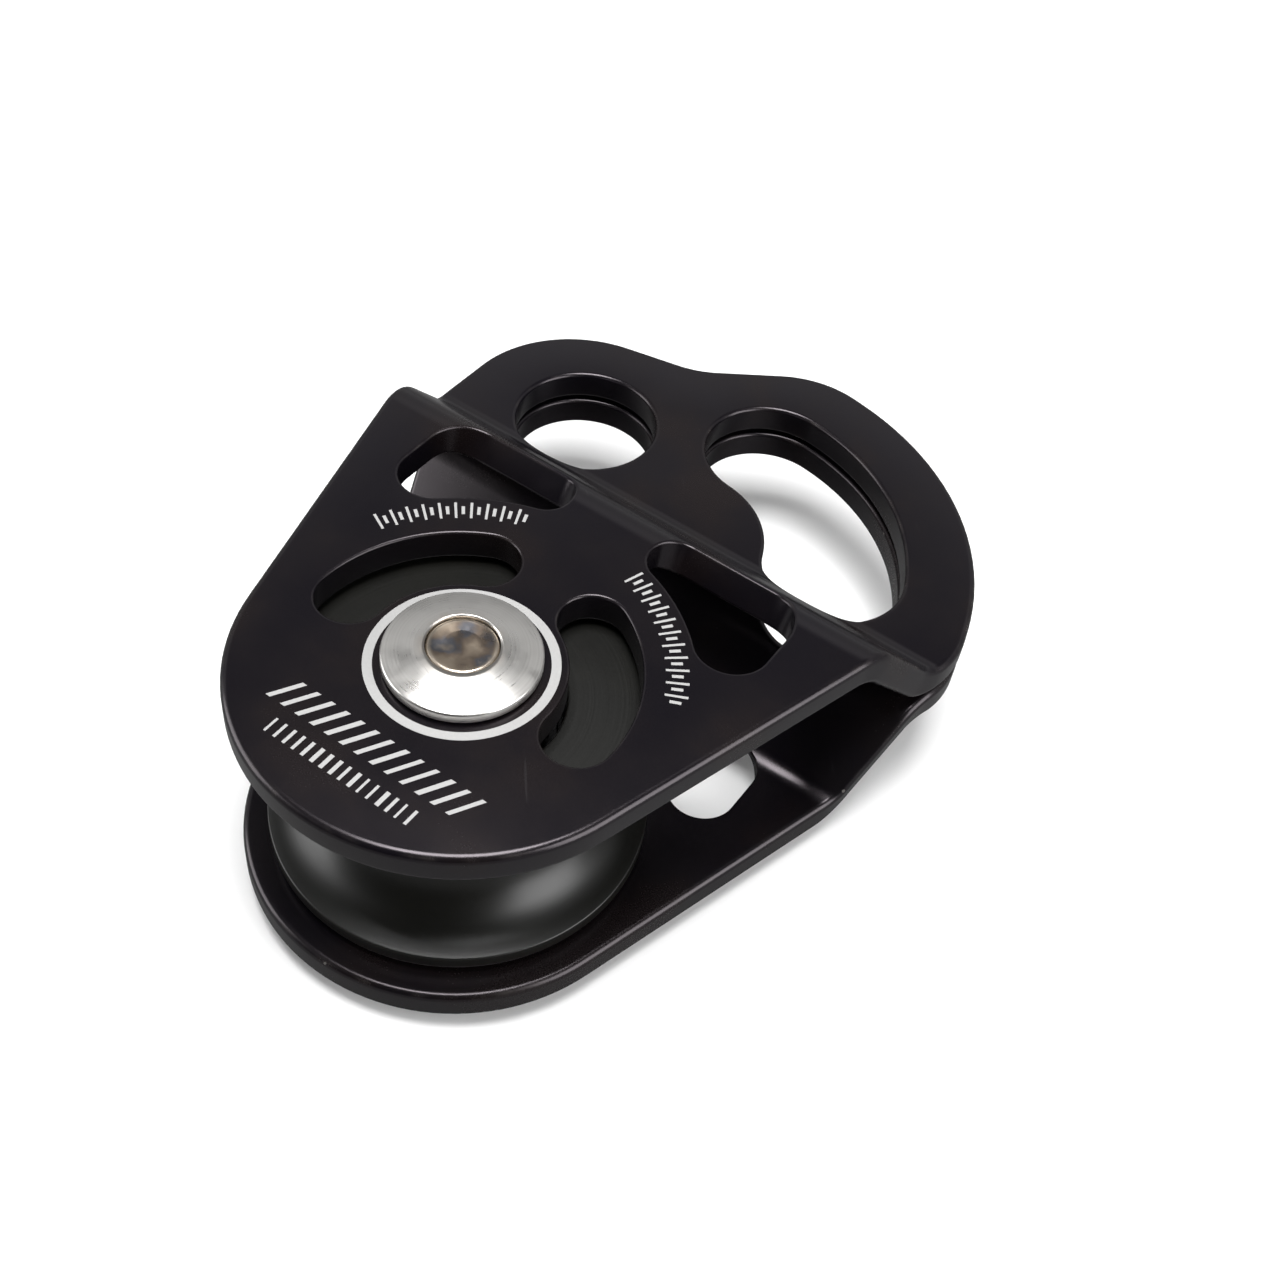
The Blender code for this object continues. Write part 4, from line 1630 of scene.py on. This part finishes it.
@dataclass
class Studio:
    """A pale floor, a soft overhead light and a camera on the upper cheek's side."""

    azimuth: float = math.radians(28.65)
    elevation: float = math.radians(48.25)
    roll: float = math.radians(8.23)
    lens: float = 44.75
    distance: float = 0.1453
    aside: float = 0.01622
    above: float = 0.00198
    clip: tuple[float, float] = (0.005, 20.0)
    floor_size: float = 3.0
    floor_tones: tuple[float, float] = (0.90, 0.92)
    reflected_tone: float = 0.15
    roughness: float = 0.75
    bare_radius: float = 0.10
    glow_reach: float = 5.0  # times the bare radius
    glow_tone: float = 0.9
    light_aim: tuple[float, float, float] = (0.0, 0.015, 0.015)
    lights: tuple[StudioLight, ...] = (
        StudioLight("overhead_light", (0.008, -0.012, 0.42), 0.21, 2.55),
        StudioLight("side_light", (-0.36, -0.20, 0.15), 0.26, 0.9),
        StudioLight("far_side_light", (0.34, 0.02, 0.15), 0.26, 1.2),
    )
    sky_tones: tuple[tuple[float, float], ...] = (
        (0.0, 0.48),
        (0.12, 0.32),
        (0.30, 0.26),
        (0.45, 0.46),
        (0.60, 0.68),
        (0.68, 0.11),
        (0.86, 0.08),
        (1.0, 0.2),
    )
    dim_way: tuple[float, float, float] = (0.48, -0.88, 0.0)
    dim_from: tuple[float, float] = (0.2, 0.75)
    dim_to: float = 0.12
    backdrop: Colour = (0.86, 0.86, 0.87, 1)

    def build(self) -> None:
        """Sets up the floor, the lights, the sky and the camera."""
        self.add_floor()
        for light in self.lights:
            light.build(Vector(self.light_aim))
        self.add_sky()
        self.add_camera()
        settings = bpy.context.scene.view_settings
        settings.view_transform = "Standard"
        settings.look = "None"

    def add_floor(self) -> None:
        """A large flat floor at the level of the axle's lower end.

        The camera sees it pale, and brighter away from the block through a painted glow: an
        emission that only camera rays meet, where no lamp is. Reflections and bounced light meet a dark
        grey.
        """
        work = bmesh.new()
        bmesh.ops.create_grid(work, x_segments=4, y_segments=4, size=self.floor_size / 2)
        mesh = bpy.data.meshes.new("floor")
        work.to_mesh(mesh)
        work.free()
        floor = bpy.data.objects.new("floor", mesh)
        bpy.context.scene.collection.objects.link(floor)
        material = bpy.data.materials.new("floor_white_paper_and_painted_glow")
        material.use_nodes = True
        tree = Tree(material.node_tree)
        shader = material.node_tree.nodes["Principled BSDF"]
        place = tree.add("TexCoord").outputs["Object"]
        grain, patches = tree.place(GRAIN, Vector=place, Scale=900.0, Patch_Scale=20.0)
        seen = tree.add("LightPath").outputs["Is Camera Ray"]
        tone = tree.blend(patches, *(grey(value) for value in self.floor_tones))
        tree.feed(shader.inputs["Base Color"], tree.blend(seen, grey(self.reflected_tone), tone))
        tree.feed(shader.inputs["Roughness"], tree.calc("MULTIPLY_ADD", grain, 0.1, self.roughness))
        # Painted light: a camera-only emission brightens the floor away from the block and is kept off
        # near it, so the real shadows stay
        away = tree.place(POLAR, Vector=place)["Radius"]
        glow = tree.spread(away, self.bare_radius, self.bare_radius * self.glow_reach)
        glow = tree.calc("MULTIPLY", glow, seen)
        tree.feed(shader.inputs["Emission Color"], tree.blend(glow, grey(0), grey(self.glow_tone)))
        shader.inputs["Emission Strength"].default_value = 1.0
        mesh.materials.append(material)

    def add_sky(self) -> None:
        """A sky in soft bands, dimmed on one side.

        The camera sees a plain pale backdrop instead of the bands.
        """
        world = bpy.data.worlds.new("studio_sky")
        bpy.context.scene.world = world
        world.use_nodes = True
        tree = Tree(world.node_tree)
        way = tree.add("TexCoord").outputs["Generated"]
        height = tree.add("SeparateXYZ", {0: way}).outputs[2]
        sky = tree.ramp(height, [(place, grey(value)) for place, value in self.sky_tones])
        toward = tree.add("VectorMath", {0: way, 1: self.dim_way}, operation="DOT_PRODUCT")
        dim = tree.spread(toward.outputs["Value"], *self.dim_from, 1.0, self.dim_to)
        background = world.node_tree.nodes["Background"]
        seen = tree.add("LightPath").outputs["Is Camera Ray"]
        studio = tree.blend(dim, grey(0), sky)
        tree.feed(background.inputs["Color"], tree.blend(seen, studio, self.backdrop))
        background.inputs["Strength"].default_value = 1.0

    def add_camera(self) -> None:
        """The camera, placed from the centre of the upper cheek's outer face."""
        back = Vector(
            (
                math.sin(self.azimuth) * math.cos(self.elevation),
                -math.cos(self.azimuth) * math.cos(self.elevation),
                math.sin(self.elevation),
            )
        )
        level = Vector((math.cos(self.azimuth), math.sin(self.azimuth), 0))
        upright = back.cross(level)
        c, s = math.cos(self.roll), math.sin(self.roll)
        right, up = level * c + upright * s, upright * c - level * s
        target = Vector((0, 0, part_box("upper_cheek")[1].z))
        place = target + right * self.aside + up * self.above + back * self.distance
        camera = bpy.data.objects.new("camera", bpy.data.cameras.new("camera"))
        camera.data.lens = self.lens
        camera.data.clip_start, camera.data.clip_end = self.clip
        bpy.context.scene.collection.objects.link(camera)
        camera.matrix_world = Matrix.Translation(place) @ Matrix((right, up, back)).transposed().to_4x4()
        bpy.context.scene.camera = camera


def main() -> None:
    """Builds the block, piece by piece, and its studio."""
    logging.basicConfig(level=logging.INFO, format="%(name)s: %(message)s")
    for side in Side:
        CheekPlate(side).build()
    AxleSet().build()
    Sheave().build()
    Bearing().build()
    Studio().build()


if __name__ == "__main__":
    main()
